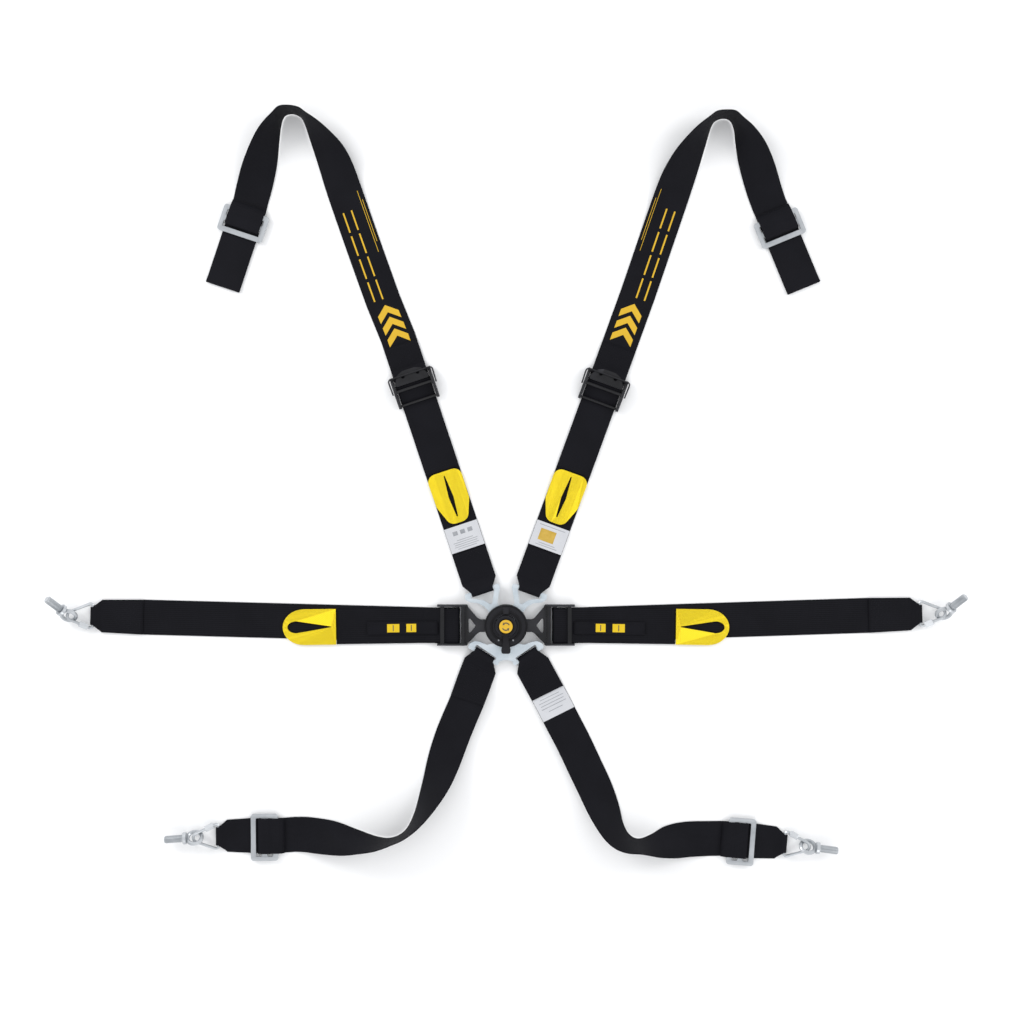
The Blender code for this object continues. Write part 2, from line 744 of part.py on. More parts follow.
def slider(name, place, heading, parent, drop=0.0):
    """A three-bar slider standing just over the lower layer of the strap."""
    seat = axis_empty(f"{name}_seat", (place[0], place[1] - drop, 0), heading, parent)
    outer = rounded([(-19.5, -33.5), (19.5, -33.5), (19.5, 33.5), (-19.5, 33.5)], 4.0, 3)
    slots = []
    for middle in (-7.9, 7.9):
        low, high = middle - 4.1, middle + 4.1
        slots.append(rounded([(low, -27.2), (high, -27.2), (high, 27.2), (low, 27.2)], 1.5, 2))
    plate(name, outer, 3.6, 3.0, "zinc", seat, slots, bevel=0.7)


def upper_webbing(side, bar, heading, fold):
    """The upper shoulder strap, from the adjuster over the folded bend to the end of the tail."""
    loop_s = ADJUSTER_AT + 12.5
    loop = arc((loop_s, 4.9), 3.5, 260, 100, 8)
    start_rows = straight_rows(
        along([(loop_s + 46, SECOND_Z), (loop_s + 12, SECOND_Z), loop[-1]])
        + list(reversed(loop))[1:-1]
        + along([loop[0], (loop_s + 12, FLOOR_Z), (loop_s + 56, FLOOR_Z)]),
        bar,
        heading,
    )
    place, tail_heading = TAIL[side]
    tail_rows = straight_rows(tail_profile(TAIL_LONG[side], 1.5), place, tail_heading)
    middle = bend_rows(UPPER_ROUTE[side], outer_first=side == "right")
    ribbon(f"shoulder_upper_webbing_{side}", start_rows + middle + tail_rows, "webbing", fold)
    slider(f"shoulder_slider_{side}", place, tail_heading, fold)


def pull_loop(name, place, heading, start_s, way, parent):
    """A flat yellow pull loop with a finger slot, hinged where it is sewn to the free end."""
    turn = math.radians(heading)
    at = (place[0] + start_s * math.cos(turn), place[1] + start_s * math.sin(turn))
    hinge = axis_empty(f"{name}_axis", (*at, SECOND_Z), heading, parent)
    long = PULL_LOOP_LONG
    outline = [(0, -25.5), (0, 25.5), (long - 14, 25.5), (long, 14), (long, -14), (long - 14, -25.5)]
    slot = [(12, 0), (22, 7), (long - 14, 7), (long - 9, 0), (long - 14, -7), (22, -7)]
    outline = [(way * s, y) for s, y in rounded(outline, 3, 2)]
    slot = [(way * s, y) for s, y in rounded(slot, 3, 2)]
    plate(name, outline, -THICK / 2, 2.4, "yellow_webbing", hinge, [slot])


# ---------------------------------------------------------------- lap straps


def lap(side, root):
    """One lap strap: tongue with adjuster, webbing, tab, pull loop, link, nut and eye bolt."""
    sign = -1 if side == "left" else 1
    group = root if side == "left" else axis_empty("lap_right_slide_axis", (0, 0, 0), parent=root)
    lap_tongue(side, group)
    bar_z = 4.7
    seat = axis_empty(f"lap_{side}_seat", (0, 0, 0), 0 if sign > 0 else 180, group)
    ends = [(LAP_BAR_X, -25.2 * sign, bar_z), (LAP_BAR_X, 27.0 * sign, bar_z)]
    wire(f"lap_adjuster_bar_{side}", ends, 2.6, "black_metal", seat, resolution=3)

    wrap = arc((LAP_BAR_X, bar_z), 3.6, 100, 260, 8)
    end = LAP_END[side]
    eye = arc((end, EYE_Z), EYE_RADIUS, 90, -90, 8)
    rise = LAP_RISE[side]
    turn_at = 100.0
    heading = rise if sign > 0 else 180 - rise
    place = (sign * turn_at, 0.0)

    upper = along([(LAP_FREE_END, SECOND_Z), (116, SECOND_Z), (94, 8.3), (82, 8.4), wrap[0]], 2)
    first = [wrap[-1], (82, FLOOR_Z + 0.1), (LAP_SEWN_FROM, FLOOR_Z), (end - 12, FLOOR_Z), eye[-1]]
    lower = along(first, 2)
    back = along([eye[0], (end - 12, SECOND_Z + 0.2), (LAP_SEWN_FROM, SECOND_Z)], 2)

    def width(s):
        share = min(1.0, max(0.0, (s + turn_at - (end - 14)) / 12.0))
        return WIDTH - share * END_NARROWING

    straight = 0.0 if sign > 0 else 180.0
    free = LAP_FREE_RISE if sign > 0 else 180.0 - LAP_FREE_RISE
    rows = []
    for s, z in upper + wrap[1:-1]:
        rows += straight_rows([(s - turn_at, z)], place, free if s > turn_at else straight)
    for s, z in lower + list(reversed(eye))[1:-1] + back:
        rows += straight_rows([(s - turn_at, z)], place, heading if s > turn_at else straight, width)
    ribbon(f"lap_webbing_{side}", rows, "webbing", group)

    hinge_at = (sign * 96.5, -3.0, 8.6)
    hinge = axis_empty(f"lap_{side}_tab_axis", hinge_at, 0 if sign > 0 else 180, group)
    tab_profile = along([(0.5, 9.6), (6, 9.2), (20, 4.3), (102, 4.3)], 3, 4.0)
    tab = straight_rows(tab_profile, hinge_at, free, lambda s: 18.0)
    ribbon(f"lap_release_tab_{side}", tab, "webbing", hinge, 1.0)
    pull_loop(f"lap_pull_loop_{side}", place, free, LAP_FREE_END - turn_at + 1.0, 1, group)
    turn = math.radians(heading)
    far = end - turn_at
    link_at = (place[0] + far * math.cos(turn), place[1] + far * math.sin(turn), EYE_Z)
    end_fitting(f"lap_{side}", link_at, heading, group, sign)


def end_fitting(name, place, heading, parent, sign):
    """A wire quick link through the webbing's end, its screw sleeve and a threaded eye bolt."""
    hinge = axis_empty(f"{name}_link_axis", place, heading, parent)
    wedge = [(0, -LINK_HALF), (0, LINK_HALF), (LINK_LONG, 0)]
    corners = rounded(wedge, [3.5, 3.5, 6.5], 5)
    tilt = Matrix.Rotation(math.radians(-LINK_PITCH), 3, "Y")
    points = [tuple(tilt @ Vector((x, y, 0))) for x, y in corners]
    wire(f"{name}_link", points, LINK_WIRE, "zinc", hinge, True)
    begin = Vector((0, -LINK_HALF * sign, 0))
    way = (Vector((LINK_LONG, 0, 0)) - begin).normalized()
    centre = begin + way * NUT_AT
    slide = bpy.data.objects.new(f"{name}_nut_axis", None)
    collection.objects.link(slide)
    slide.parent = hinge
    facing = (tilt @ way.to_track_quat("X", "Z").to_matrix()).to_4x4()
    slide.matrix_basis = Matrix.Translation(tilt @ centre * MM) @ facing
    bore = LINK_WIRE + 0.6
    profile = [(bore, 6.5), (4.1, 6.5), (4.6, 5.5), (4.6, -5.5), (4.1, -6.5), (bore, -6.5)]
    nut = turned(f"{name}_link_nut", profile, "zinc", slide, 6)
    nut.rotation_euler.y = math.radians(90)

    grip = tilt @ Vector((RING_AT, 0, 0)) + Vector((0, 0, RING_LIFT))
    swivel = bpy.data.objects.new(f"{name}_eye_axis", None)
    collection.objects.link(swivel)
    swivel.parent = hinge
    swivel.matrix_basis = Matrix.Translation(grip * MM)
    roll = Matrix.Rotation(math.radians(RING_ROLL * sign), 3, "X")
    ring = []
    for number in range(20):
        angle = math.tau * number / 20
        flat = Vector((1 + math.cos(angle), math.sin(angle), 0)) * RING_RADIUS
        ring.append(tuple(roll @ flat))
    eye = wire(f"{name}_eye_bolt", ring, RING_WIRE, "zinc", swivel, True)
    swing = SHANK_SWING[name.split("_")[0]] * sign
    middle = Matrix.Translation(roll @ Vector((RING_RADIUS, 0, 0)) * MM)
    turn = middle @ roll.to_4x4() @ Matrix.Rotation(math.radians(swing), 4, "Z")
    lying = Matrix.Rotation(math.radians(90), 4, "Y")
    profile = [(0, 3.0), (8.0, 3.0), (8.6, 2.2), (8.6, -1.6), (6.5, -3.0), (0, -3.0)]
    collar = turned("collar", profile, "zinc", swivel, 20)
    collar.matrix_basis = turn @ Matrix.Translation((RING_RADIUS * MM + 3.4 * MM, 0, 0)) @ lying
    profile = [
        (0, SHANK_LONG), (SHANK_RADIUS - 1.1, SHANK_LONG), (SHANK_RADIUS, SHANK_LONG - 1.5),
        (SHANK_RADIUS, 0), (0, 0),
    ]
    shank = turned("shank", profile, "zinc", swivel, 16)
    shank.matrix_basis = turn @ Matrix.Translation((RING_RADIUS * MM + 4.5 * MM, 0, 0)) @ lying
    combine(eye, [collar, shank])


# ---------------------------------------------------------------- crotch straps

CROTCH_ROUTE = {
    # lower edge x, y, direction to the upper edge, tilt of the strap
    "left": [
        (-59.3, -46.5, -27, 0), (-66.7, -66.0, -22, 3), (-74.4, -88.0, -18, 9),
        (-78.7, -100.0, -17, 11), (-90.0, -126.0, -18, 10), (-100.5, -152.0, -20, 10),
        (-111.0, -186.0, -28, 20), (-120.0, -226.0, -38, 46), (-131.0, -268.0, -50, 72),
        (-144.0, -293.0, -64, 86), (-163.0, -303.5, -84, 88), (-184.0, -302.0, -94, 77),
        (-212.0, -292.0, -95, 57), (-245.0, -280.0, -92, 29), (-280.0, -274.5, -90, 7),
        (-301.0, -274.0, -89.5, 0),
    ],
    "right": [
        (60.5, -46.5, 207, 0), (71.0, -66.0, 206, 1), (82.0, -86.0, 206, 2),
        (89.0, -99.0, 206, 3), (104.0, -128.0, 206, 5), (119.0, -157.0, 206, 7),
        (135.0, -191.0, 206, 8), (151.0, -226.0, 208, 13), (161.5, -257.0, 213, 30),
        (168.0, -284.0, 228, 52), (177.0, -299.5, 246, 69), (190.0, -305.0, 262, 76),
        (207.0, -299.0, 270, 64), (228.0, -287.0, 271, 38), (256.0, -281.0, 269, 12),
        (292.0, -280.0, 267, 0),
    ],
}


def crotch(side, plate_axis):
    """One crotch strap, from the plate over its bend to the slider and the end fitting."""
    sign = -1 if side == "left" else 1
    bar = (sign * CROTCH_BAR[0], -CROTCH_BAR[1])
    heading = 180 + CROTCH_HEADING if side == "left" else -CROTCH_HEADING
    fold = axis_empty(f"crotch_{side}_fold_axis", (*bar, TONGUE_MID), heading, plate_axis)
    loop = arc((0, TONGUE_MID), LOOP_RADIUS + THICK / 2 - 0.1, 80, 280, 9)
    route = CROTCH_ROUTE[side]
    outer_first = side == "left"
    middle = bend_rows(route, outer_first)
    sewn = bend_rows(route[: SEWN_POINTS[side]], outer_first, LAYER)
    start_rows = straight_rows(loop, bar, heading, lambda s: 31.0)
    place, tail_heading = CROTCH_SLIDER[side], CROTCH_TAIL[side]
    long = CROTCH_TAIL_LONG[side]
    profile = tail_profile(long, 1.5)
    eye = arc((long, EYE_Z), EYE_RADIUS, -90, 90, 8)
    bend = [number for number, (s, z) in enumerate(profile) if s >= long - 0.01]
    profile = profile[: bend[0]] + [(long - 12, FLOOR_Z)] + eye + profile[bend[-1] + 1 :]

    def width(s):
        share = min(1.0, max(0.0, (s - (long - 14)) / 12.0))
        return WIDTH - share * END_NARROWING

    tail_rows = straight_rows(profile, place, tail_heading, width)
    ribbon(f"crotch_webbing_{side}", sewn[::-1] + start_rows + middle + tail_rows, "webbing", fold)
    slider(f"crotch_slider_{side}", place, tail_heading, fold, 1.8)
    turn = math.radians(tail_heading)
    link_at = (place[0] + long * math.cos(turn), place[1] + long * math.sin(turn), EYE_Z)
    end_fitting(f"crotch_{side}", link_at, tail_heading, fold, -sign)


def main():
    start()
    root = axis_empty("harness", (0, 0, 0))
    buckle(root)
    plate_axis = axis_empty("crotch_slide_axis", (0, 0, 0), parent=root)
    crotch_plate(plate_axis)
    for side in ("left", "right"):
        shoulder(side, root)
        lap(side, root)
        crotch(side, plate_axis)
    bpy.context.view_layer.update()


main()
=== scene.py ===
"""Looks of the racing harness: woven straps with stitching and prints, plastic and metal finishes.

Lengths here are in millimetres and turned into metres where a mesh is made. A strap is a Band:
rows of two edge points at the middle of its thickness.
"""
import bisect
import json
import math

import bpy
from mathutils import Matrix, Vector


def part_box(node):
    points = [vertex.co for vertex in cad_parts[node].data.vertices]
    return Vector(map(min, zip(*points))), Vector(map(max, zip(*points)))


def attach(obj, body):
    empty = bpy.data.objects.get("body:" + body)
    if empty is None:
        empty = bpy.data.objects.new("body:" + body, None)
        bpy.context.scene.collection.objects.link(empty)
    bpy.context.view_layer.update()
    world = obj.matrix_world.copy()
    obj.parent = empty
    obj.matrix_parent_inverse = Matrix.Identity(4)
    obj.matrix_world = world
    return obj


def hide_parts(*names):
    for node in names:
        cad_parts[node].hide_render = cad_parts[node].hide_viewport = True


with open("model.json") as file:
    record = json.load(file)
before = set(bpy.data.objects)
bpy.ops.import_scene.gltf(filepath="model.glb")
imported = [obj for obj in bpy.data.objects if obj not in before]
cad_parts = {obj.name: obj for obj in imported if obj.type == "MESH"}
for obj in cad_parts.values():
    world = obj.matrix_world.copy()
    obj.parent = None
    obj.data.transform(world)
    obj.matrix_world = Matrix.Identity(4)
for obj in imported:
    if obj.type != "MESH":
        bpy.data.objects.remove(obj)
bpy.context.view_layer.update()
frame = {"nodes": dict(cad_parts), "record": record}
nodes = frame["nodes"]

MM = 0.001
WIDTH = 50.0
THICK = 1.3
FLOOR_Z = 0.65
SECOND_Z = 2.25
LAYER = 1.6
TONGUE_MID = 7.5
LOOP_RADIUS = 3.9
LOOP_WIDTH = 32.0
SHOULDER_BAR = (34.0, 50.0)
SHOULDER_LEAN = {"left": 18.4, "right": 20.1}
ADJUSTER_AT = 312.0
FREE_END_AT = 179.5
TAIL_LONG = {"left": 93.5, "right": 90.0}
LAP_RISE = {"left": 1.6, "right": 1.95}
LAP_FREE_RISE = -0.8
LAP_BAR_X = 70.0
LAP_END = {"left": 590.0, "right": 591.0}
LAP_FREE_END = 242.0
LAP_SEWN_FROM = 519.0
END_NARROWING = 24.5
CROTCH_BAR = (31.4, 42.5)
CROTCH_HEADING = 58.0
CROTCH_SLIDER = {"left": (-344.6, -300.5), "right": (335.7, -306.8)}
CROTCH_TAIL = {"left": 180.5, "right": -4.5}
CROTCH_TAIL_LONG = {"left": 66.0, "right": 62.0}
PULL_LOOP_LONG = 76.0
TAPE_WIDTH = 18.0
TAPE_THICK = 1.0
LABEL_HALF = 24.6
END_RADIUS = 1.5
SIDES = ("left", "right")


# ---------------------------------------------------------------- materials


class Look:
    """A node material under construction."""

    def __init__(self, name, roughness=0.5, metallic=0.0, **sockets):
        self.material = bpy.data.materials.new(name)
        self.material.use_nodes = True
        self.tree = self.material.node_tree
        self.shader = self.tree.nodes["Principled BSDF"]
        self.put("Roughness", roughness)
        self.put("Metallic", metallic)
        for socket, value in sockets.items():
            self.put(socket.replace("_", " "), value)

    def put(self, socket, value):
        self.shader.inputs[socket].default_value = value

    def node(self, kind, **settings):
        made = self.tree.nodes.new(kind)
        for key, value in settings.items():
            if key in made.inputs.keys():
                made.inputs[key].default_value = value
            else:
                setattr(made, key, value)
        return made

    def link(self, source, target):
        self.tree.links.new(source, target)

    def math(self, operation, first, second=0.5):
        made = self.node("ShaderNodeMath", operation=operation)
        for number, value in enumerate((first, second)):
            if isinstance(value, (int, float)):
                made.inputs[number].default_value = value
            else:
                self.link(value, made.inputs[number])
        return made.outputs[0]

    def noise(self, vector, scale, detail=3.0):
        made = self.node("ShaderNodeTexNoise", Scale=scale, Detail=detail)
        self.link(vector, made.inputs["Vector"])
        return made.outputs["Fac"]

    def ramp(self, value, stops):
        made = self.node("ShaderNodeValToRGB")
        elements = made.color_ramp.elements
        while len(elements) < len(stops):
            elements.new(0.5)
        for element, (place, colour) in zip(elements, stops):
            element.position = place
            element.color = (*colour, 1.0)
        self.link(value, made.inputs["Fac"])
        return made.outputs["Color"]

    def bump(self, height, strength, distance):
        made = self.node("ShaderNodeBump", Strength=strength, Distance=distance)
        self.link(height, made.inputs["Height"])
        self.link(made.outputs["Normal"], self.shader.inputs["Normal"])

    def finish(self, colour=None, rough=None):
        if colour is not None:
            self.link(colour, self.shader.inputs["Base Color"])
        if rough is not None:
            self.link(rough, self.shader.inputs["Roughness"])
        return self.material


def woven(name, dark, light, rib, pick, sheen, roughness=0.62, specular=0.35, strength=0.55):
    """Webbing: lengthwise ribs crossed by picks, each yarn's crown painted brighter as a painted
    highlight, in tired patches.
    """
    look = Look(
        name, roughness, Sheen_Weight=sheen, Sheen_Roughness=0.35, Specular_IOR_Level=specular
    )
    uv = look.node("ShaderNodeUVMap", uv_map="UVMap").outputs["UV"]
    parts = look.node("ShaderNodeSeparateXYZ")
    look.link(uv, parts.inputs[0])
    across, along_it = parts.outputs["X"], parts.outputs["Y"]
    ribs = look.math("SINE", look.math("MULTIPLY", across, math.tau / rib), 0)
    crossing = look.math("MULTIPLY", along_it, math.tau / pick)
    picks = look.math("SINE", look.math("ADD", crossing, look.math("MULTIPLY", ribs, 1.4)), 0)
    weave = look.math("MULTIPLY_ADD", look.math("ADD", ribs, picks), 0.25)
    weave.node.inputs[2].default_value = 0.5
    patches = look.noise(uv, 18.0, 4.0)
    fuzz = look.noise(uv, 900.0, 2.0)
    # The colour is painted brighter on the crowns of the weave, a painted highlight; the patches are
    # random tone. The same weave also drives the bump.
    tone = look.math("ADD", look.math("MULTIPLY", weave, 0.55), look.math("MULTIPLY", patches, 0.45))
    colour = look.ramp(tone, [(0.25, dark), (0.8, light)])
    height = look.math("ADD", weave, look.math("MULTIPLY", fuzz, 0.3))
    look.bump(height, strength, 0.0003)
    rough = look.math("ADD", look.math("MULTIPLY", patches, 0.16), roughness - 0.08)
    return look.finish(colour, rough)


def solid(
    name, dark, light, roughness, metallic=0.0, grain=400.0, bump=0.05, worn=None, **sockets
):
    """Moulded plastic or metal: cloudy colour, fine grain, and edges worn to a lighter tone."""
    look = Look(name, roughness, metallic, **sockets)
    place = look.node("ShaderNodeTexCoord").outputs["Object"]
    clouds = look.noise(place, 60.0, 4.0)
    fine = look.noise(place, grain, 2.0)
    colour = look.ramp(clouds, [(0.3, dark), (0.75, light)])
    if worn:
        point = look.node("ShaderNodeNewGeometry").outputs["Pointiness"]
        edge = look.math("MULTIPLY", look.math("SUBTRACT", point, 0.53), 9.0)
        edge.node.use_clamp = True
        mix = look.node("ShaderNodeMix", data_type="RGBA")
        look.link(edge, mix.inputs[0])
        look.link(colour, mix.inputs[6])
        mix.inputs[7].default_value = (*worn, 1.0)
        colour = mix.outputs[2]
    look.bump(fine, bump * 4, 0.00012)
    spread = 0.12
    rough = look.math("ADD", look.math("MULTIPLY", fine, spread), roughness - spread / 2)
    return look.finish(colour, rough)


LOOKS = {
    "webbing": woven(
        "harness_webbing", (0.0028, 0.0028, 0.0042), (0.0100, 0.0100, 0.0135), 0.0017, 0.0012, 0.02,
        specular=0.08,
    ),
    "wide_webbing": woven(
        "lap_webbing_rib", (0.0026, 0.0026, 0.0038), (0.0095, 0.0095, 0.0128), 0.0028, 0.0019, 0.02,
        specular=0.08, strength=0.8,
    ),
    "yellow": woven(
        "yellow_tape", (0.84, 0.58, 0.002), (1.0, 0.82, 0.02), 0.0025, 0.0021, 0.05, 0.6, 0.3, 0.8
    ),
    "tag": woven(
        "yellow_tag", (0.60, 0.40, 0.003), (0.78, 0.55, 0.015), 0.0012, 0.0012, 0.0, 0.6, 0.3, 0.4
    ),
    "label": woven(
        "label_cloth", (0.48, 0.49, 0.52), (0.64, 0.645, 0.66), 0.0008, 0.0008, 0.0, 0.7, 0.3, 0.2
    ),
    "print": woven(
        "gold_print", (0.52, 0.31, 0.010), (0.80, 0.50, 0.022), 0.0017, 0.0012, 0.0, 0.5, 0.4, 0.3
    ),
    "ink": solid("label_ink", (0.03, 0.03, 0.035), (0.07, 0.07, 0.08), 0.7),
    "grey_ink": solid("label_grey_ink", (0.22, 0.23, 0.25), (0.34, 0.35, 0.37), 0.7),
    "foil": solid(
        "gold_foil", (0.50, 0.31, 0.04), (0.78, 0.53, 0.12), 0.3, 0.85, worn=(0.9, 0.7, 0.3)
    ),
    "thread": solid(
        "black_thread", (0.003, 0.003, 0.0045), (0.010, 0.010, 0.0135), 0.6, grain=2500.0,
        Specular_IOR_Level=0.15,
    ),
    "yellow_thread": solid(
        "yellow_thread", (0.72, 0.44, 0.002), (0.95, 0.66, 0.01), 0.5, grain=2500.0
    ),
    "black_plastic": solid(
        "moulded_nylon", (0.0035, 0.0035, 0.0045), (0.0085, 0.0085, 0.010), 0.45, grain=1500.0,
        bump=0.10, worn=(0.02, 0.02, 0.024), Specular_IOR_Level=0.16,
    ),
    "yellow_plastic": solid(
        "yellow_cap", (0.62, 0.36, 0.003), (0.72, 0.44, 0.008), 0.3, grain=1200.0, Coat_Weight=0.4
    ),
    "black_metal": solid(
        "black_steel", (0.0035, 0.0035, 0.0045), (0.009, 0.009, 0.011), 0.36, 0.0, grain=900.0,
        bump=0.05, worn=(0.03, 0.03, 0.035), Specular_IOR_Level=0.3,
    ),
    "alloy": solid(
        "satin_alloy", (0.50, 0.57, 0.62), (0.66, 0.72, 0.76), 0.38, 0.8, grain=1100.0, bump=0.05,
        worn=(0.86, 0.90, 0.93),
    ),
    "zinc": solid(
        "zinc_plate", (0.34, 0.36, 0.38), (0.50, 0.52, 0.54), 0.36, 0.9, grain=900.0, bump=0.04,
        worn=(0.66, 0.68, 0.70),
    ),
}


# ---------------------------------------------------------------- straps as rows


def rounded(points, radius, steps=5, closed=True):
    """The points with each corner turned into an arc."""
    result = []
    for number, (x, y) in enumerate(points):
        here = Vector((x, y))
        back = Vector(points[number - 1]) - here
        ahead = Vector(points[(number + 1) % len(points)]) - here
        if not closed and number in (0, len(points) - 1):
            result.append((x, y))
            continue
        angle = back.angle(ahead)
        if angle > math.radians(176):
            result.append((x, y))
            continue
        reach = min(radius / math.tan(angle / 2), back.length * 0.49, ahead.length * 0.49)
        true_radius = reach * math.tan(angle / 2)
        inward = (back.normalized() + ahead.normalized()).normalized()
        centre = here + inward * (true_radius / math.sin(angle / 2))
        first = here + back.normalized() * reach - centre
        last = here + ahead.normalized() * reach - centre
        sweep = first.angle_signed(last)
        for step in range(steps + 1):
            turned = first.copy()
            turned.rotate(Matrix.Rotation(-sweep * step / steps, 2))
            result.append(tuple(centre + turned))
    return result


def along(points, radius=2.0):
    """A side profile of a strap with its corners rounded, as (distance, height) pairs."""
    return rounded(points, radius, 5, closed=False)


def arc(centre, radius, start_angle, end_angle, steps=16):
    """Points of an arc in a side profile."""
    points = []
    for step in range(steps + 1):
        turn = math.radians(start_angle + (end_angle - start_angle) * step / steps)
        points.append((centre[0] + radius * math.cos(turn), centre[1] + radius * math.sin(turn)))
    return points


def straight_rows(profile, place, heading, width=lambda s: WIDTH):
    """Rows of a straight strap: profile of (s, z), from place along heading degrees from +X."""
    ahead = Vector((math.cos(math.radians(heading)), math.sin(math.radians(heading)), 0))
    side = Vector((ahead.y, -ahead.x, 0))
    rows = []
    for s, z in profile:
        centre = Vector((place[0], place[1], 0)) + ahead * s + Vector((0, 0, z))
        rows.append((centre - side * width(s) / 2, centre + side * width(s) / 2))
    return rows


def bend_rows(route, outer_first, above=0.0, steps=8):
    """Rows of a strap on edge: route of (x, y, outward direction, tilt) at its lower edge."""
    rows = []
    for x, y, direction, tilt in smooth(route, steps):
        turn, lift = math.radians(direction), math.radians(max(0.0, tilt))
        lower = Vector((x, y, FLOOR_Z + 0.5 * math.sin(lift)))
        x_share, y_share = math.cos(turn), math.sin(turn)
        out = Vector((x_share * math.cos(lift), y_share * math.cos(lift), math.sin(lift)))
        lower += above * Vector((-x_share * math.sin(lift), -y_share * math.sin(lift), math.cos(lift)))
        upper = lower + out * WIDTH
        rows.append((upper, lower) if outer_first else (lower, upper))
    return rows


def smooth(route, steps):
    """Catmull-Rom points between the points of a route."""
    result = []
    for number in range(len(route) - 1):
        p = [Vector(route[max(0, min(len(route) - 1, number + k))]) for k in (-1, 0, 1, 2)]
        for step in range(steps):
            t = step / steps
            result.append(
                0.5
                * (
                    2 * p[1]
                    + (p[2] - p[0]) * t
                    + (2 * p[0] - 5 * p[1] + 4 * p[2] - p[3]) * t**2
                    + (3 * p[1] - p[0] - 3 * p[2] + p[3]) * t**3
                )
            )
    result.append(Vector(route[-1]))
    return result


def widening(narrow, begin, end):
    """A width that grows from narrow to full between two distances."""

    def width(s):
        share = min(1.0, max(0.0, (s - begin) / (end - begin)))
        return narrow + (WIDTH - narrow) * math.sin(share * math.pi / 2)

    return width


def narrowing(start):
    """A width that shrinks over the last few millimetres, where the end folds through a link."""

    def width(s):
        share = min(1.0, max(0.0, (s - start) / 12.0))
        return WIDTH - share * END_NARROWING

    return width


class Band:
    """A strap or tape: its rows, the distance along it, and the way its upper side faces."""

    def __init__(self, rows, spacing=5.0):
        fine = []
        for (l0, r0), (l1, r1) in zip(rows, rows[1:]):
            gap = ((l0 + r0) / 2 - (l1 + r1) / 2).length
            if gap < 1e-4:
                continue
            steps = max(1, round(gap / spacing))
            fine += [(l0.lerp(l1, k / steps), r0.lerp(r1, k / steps)) for k in range(steps)]
        self.rows = fine + [rows[-1]]
        middle = [(left + right) / 2 for left, right in self.rows]
        self.middle = middle
        self.s = [0.0]
        for one, two in zip(middle, middle[1:]):
            self.s.append(self.s[-1] + (two - one).length)
        self.normals = []
        for number, (left, right) in enumerate(self.rows):
            ahead = middle[min(number + 1, len(middle) - 1)] - middle[max(number - 1, 0)]
            self.normals.append((right - left).cross(ahead).normalized())

    def nearest(self, x, y, low=-1e9, high=1e9):
        """Distance along the band of the row nearest to a place, among rows between two heights."""
        best = min(
            (number for number, point in enumerate(self.middle) if low <= point.z <= high),
            key=lambda number: (self.middle[number].x - x) ** 2 + (self.middle[number].y - y) ** 2,
        )
        return self.s[best]

    def at(self, s, t, lift=0.0):
        """The point at distance s, t to the right of the middle, lift above the middle of the cloth."""
        number = min(max(bisect.bisect_right(self.s, s) - 1, 0), len(self.s) - 2)
        share = (s - self.s[number]) / (self.s[number + 1] - self.s[number])
        left = self.rows[number][0].lerp(self.rows[number + 1][0], share)
        right = self.rows[number][1].lerp(self.rows[number + 1][1], share)
        normal = self.normals[number].lerp(self.normals[number + 1], share).normalized()
        return (left + right) / 2 + (right - left).normalized() * t + normal * lift


# ---------------------------------------------------------------- meshes


class Build:
    """A mesh gathered from parts, in millimetres, with a flat layout in metres for its weave."""

    def __init__(self):
        self.points, self.faces, self.layout = [], [], []

    def part(self, points, faces, layout=None):
        start = len(self.points)
        self.points += [tuple(p) for p in points]
        self.faces += [[start + k for k in face] for face in faces]
        self.layout += layout or [(p[0], p[1]) for p in points]

    def make(self, name, look, body, slot, shade_smooth=True):
        mesh = bpy.data.meshes.new(name)
        mesh.from_pydata([tuple(c * MM for c in p) for p in self.points], [], self.faces)
        layer = mesh.uv_layers.new(name="UVMap")
        for loop in mesh.loops:
            u, v = self.layout[loop.vertex_index]
            layer.data[loop.index].uv = (u * MM, v * MM)
        mesh.polygons.foreach_set("use_smooth", [shade_smooth] * len(mesh.polygons))
        mesh.materials.append(LOOKS[look])
        thing = bpy.data.objects.new(name, mesh)
        bpy.context.scene.collection.objects.link(thing)
        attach(thing, body)
        return thing


# Upper half of a band's cross-section: share of the width, share of half the thickness.
SECTION = [
    (0.0, 0.25), (0.006, 0.72), (0.02, 0.95), (0.045, 1.0), (0.16, 0.97), (0.33, 1.0), (0.5, 0.97),
    (0.67, 1.0), (0.84, 0.97), (0.955, 1.0), (0.98, 0.95), (0.994, 0.72), (1.0, 0.25),
]
TAPE_SECTION = [(0.0, 0.3), (0.02, 0.8), (0.06, 1.0), (0.5, 1.0), (0.94, 1.0), (0.98, 0.8), (1.0, 0.3)]


def strap(name, band, look, body, node, thick=THICK, section=SECTION):
    """A woven band with soft selvages, closed at both ends, in place of one node."""
    build = Build()
    points, layout = [], []
    for number, (left, right) in enumerate(band.rows):
        for side in (1, -1):
            for share, fat in section:
                height = side * thick / 2 * fat
                points.append(left.lerp(right, share) + band.normals[number] * height)
                layout.append((share * (right - left).length, band.s[number]))
    count = len(section)
    ring = list(range(count)) + list(range(2 * count - 1, count - 1, -1))
    faces = []
    for row in range(len(band.rows) - 1):
        here, there = row * 2 * count, (row + 1) * 2 * count
        for k in range(2 * count):
            one, two = ring[k], ring[(k + 1) % (2 * count)]
            faces.append([here + two, there + two, there + one, here + one])
    last = (len(band.rows) - 1) * 2 * count
    faces += [ring[::-1], [last + k for k in ring]]
    build.part(points, faces, layout)
    thing = build.make(name, look, body, "webbing")
    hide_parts(node)


def oblong(s0, s1, t0, t1):
    """The four corners of a patch between two distances and two places across a band."""
    return [(s0, t0), (s1, t0), (s1, t1), (s0, t1)]


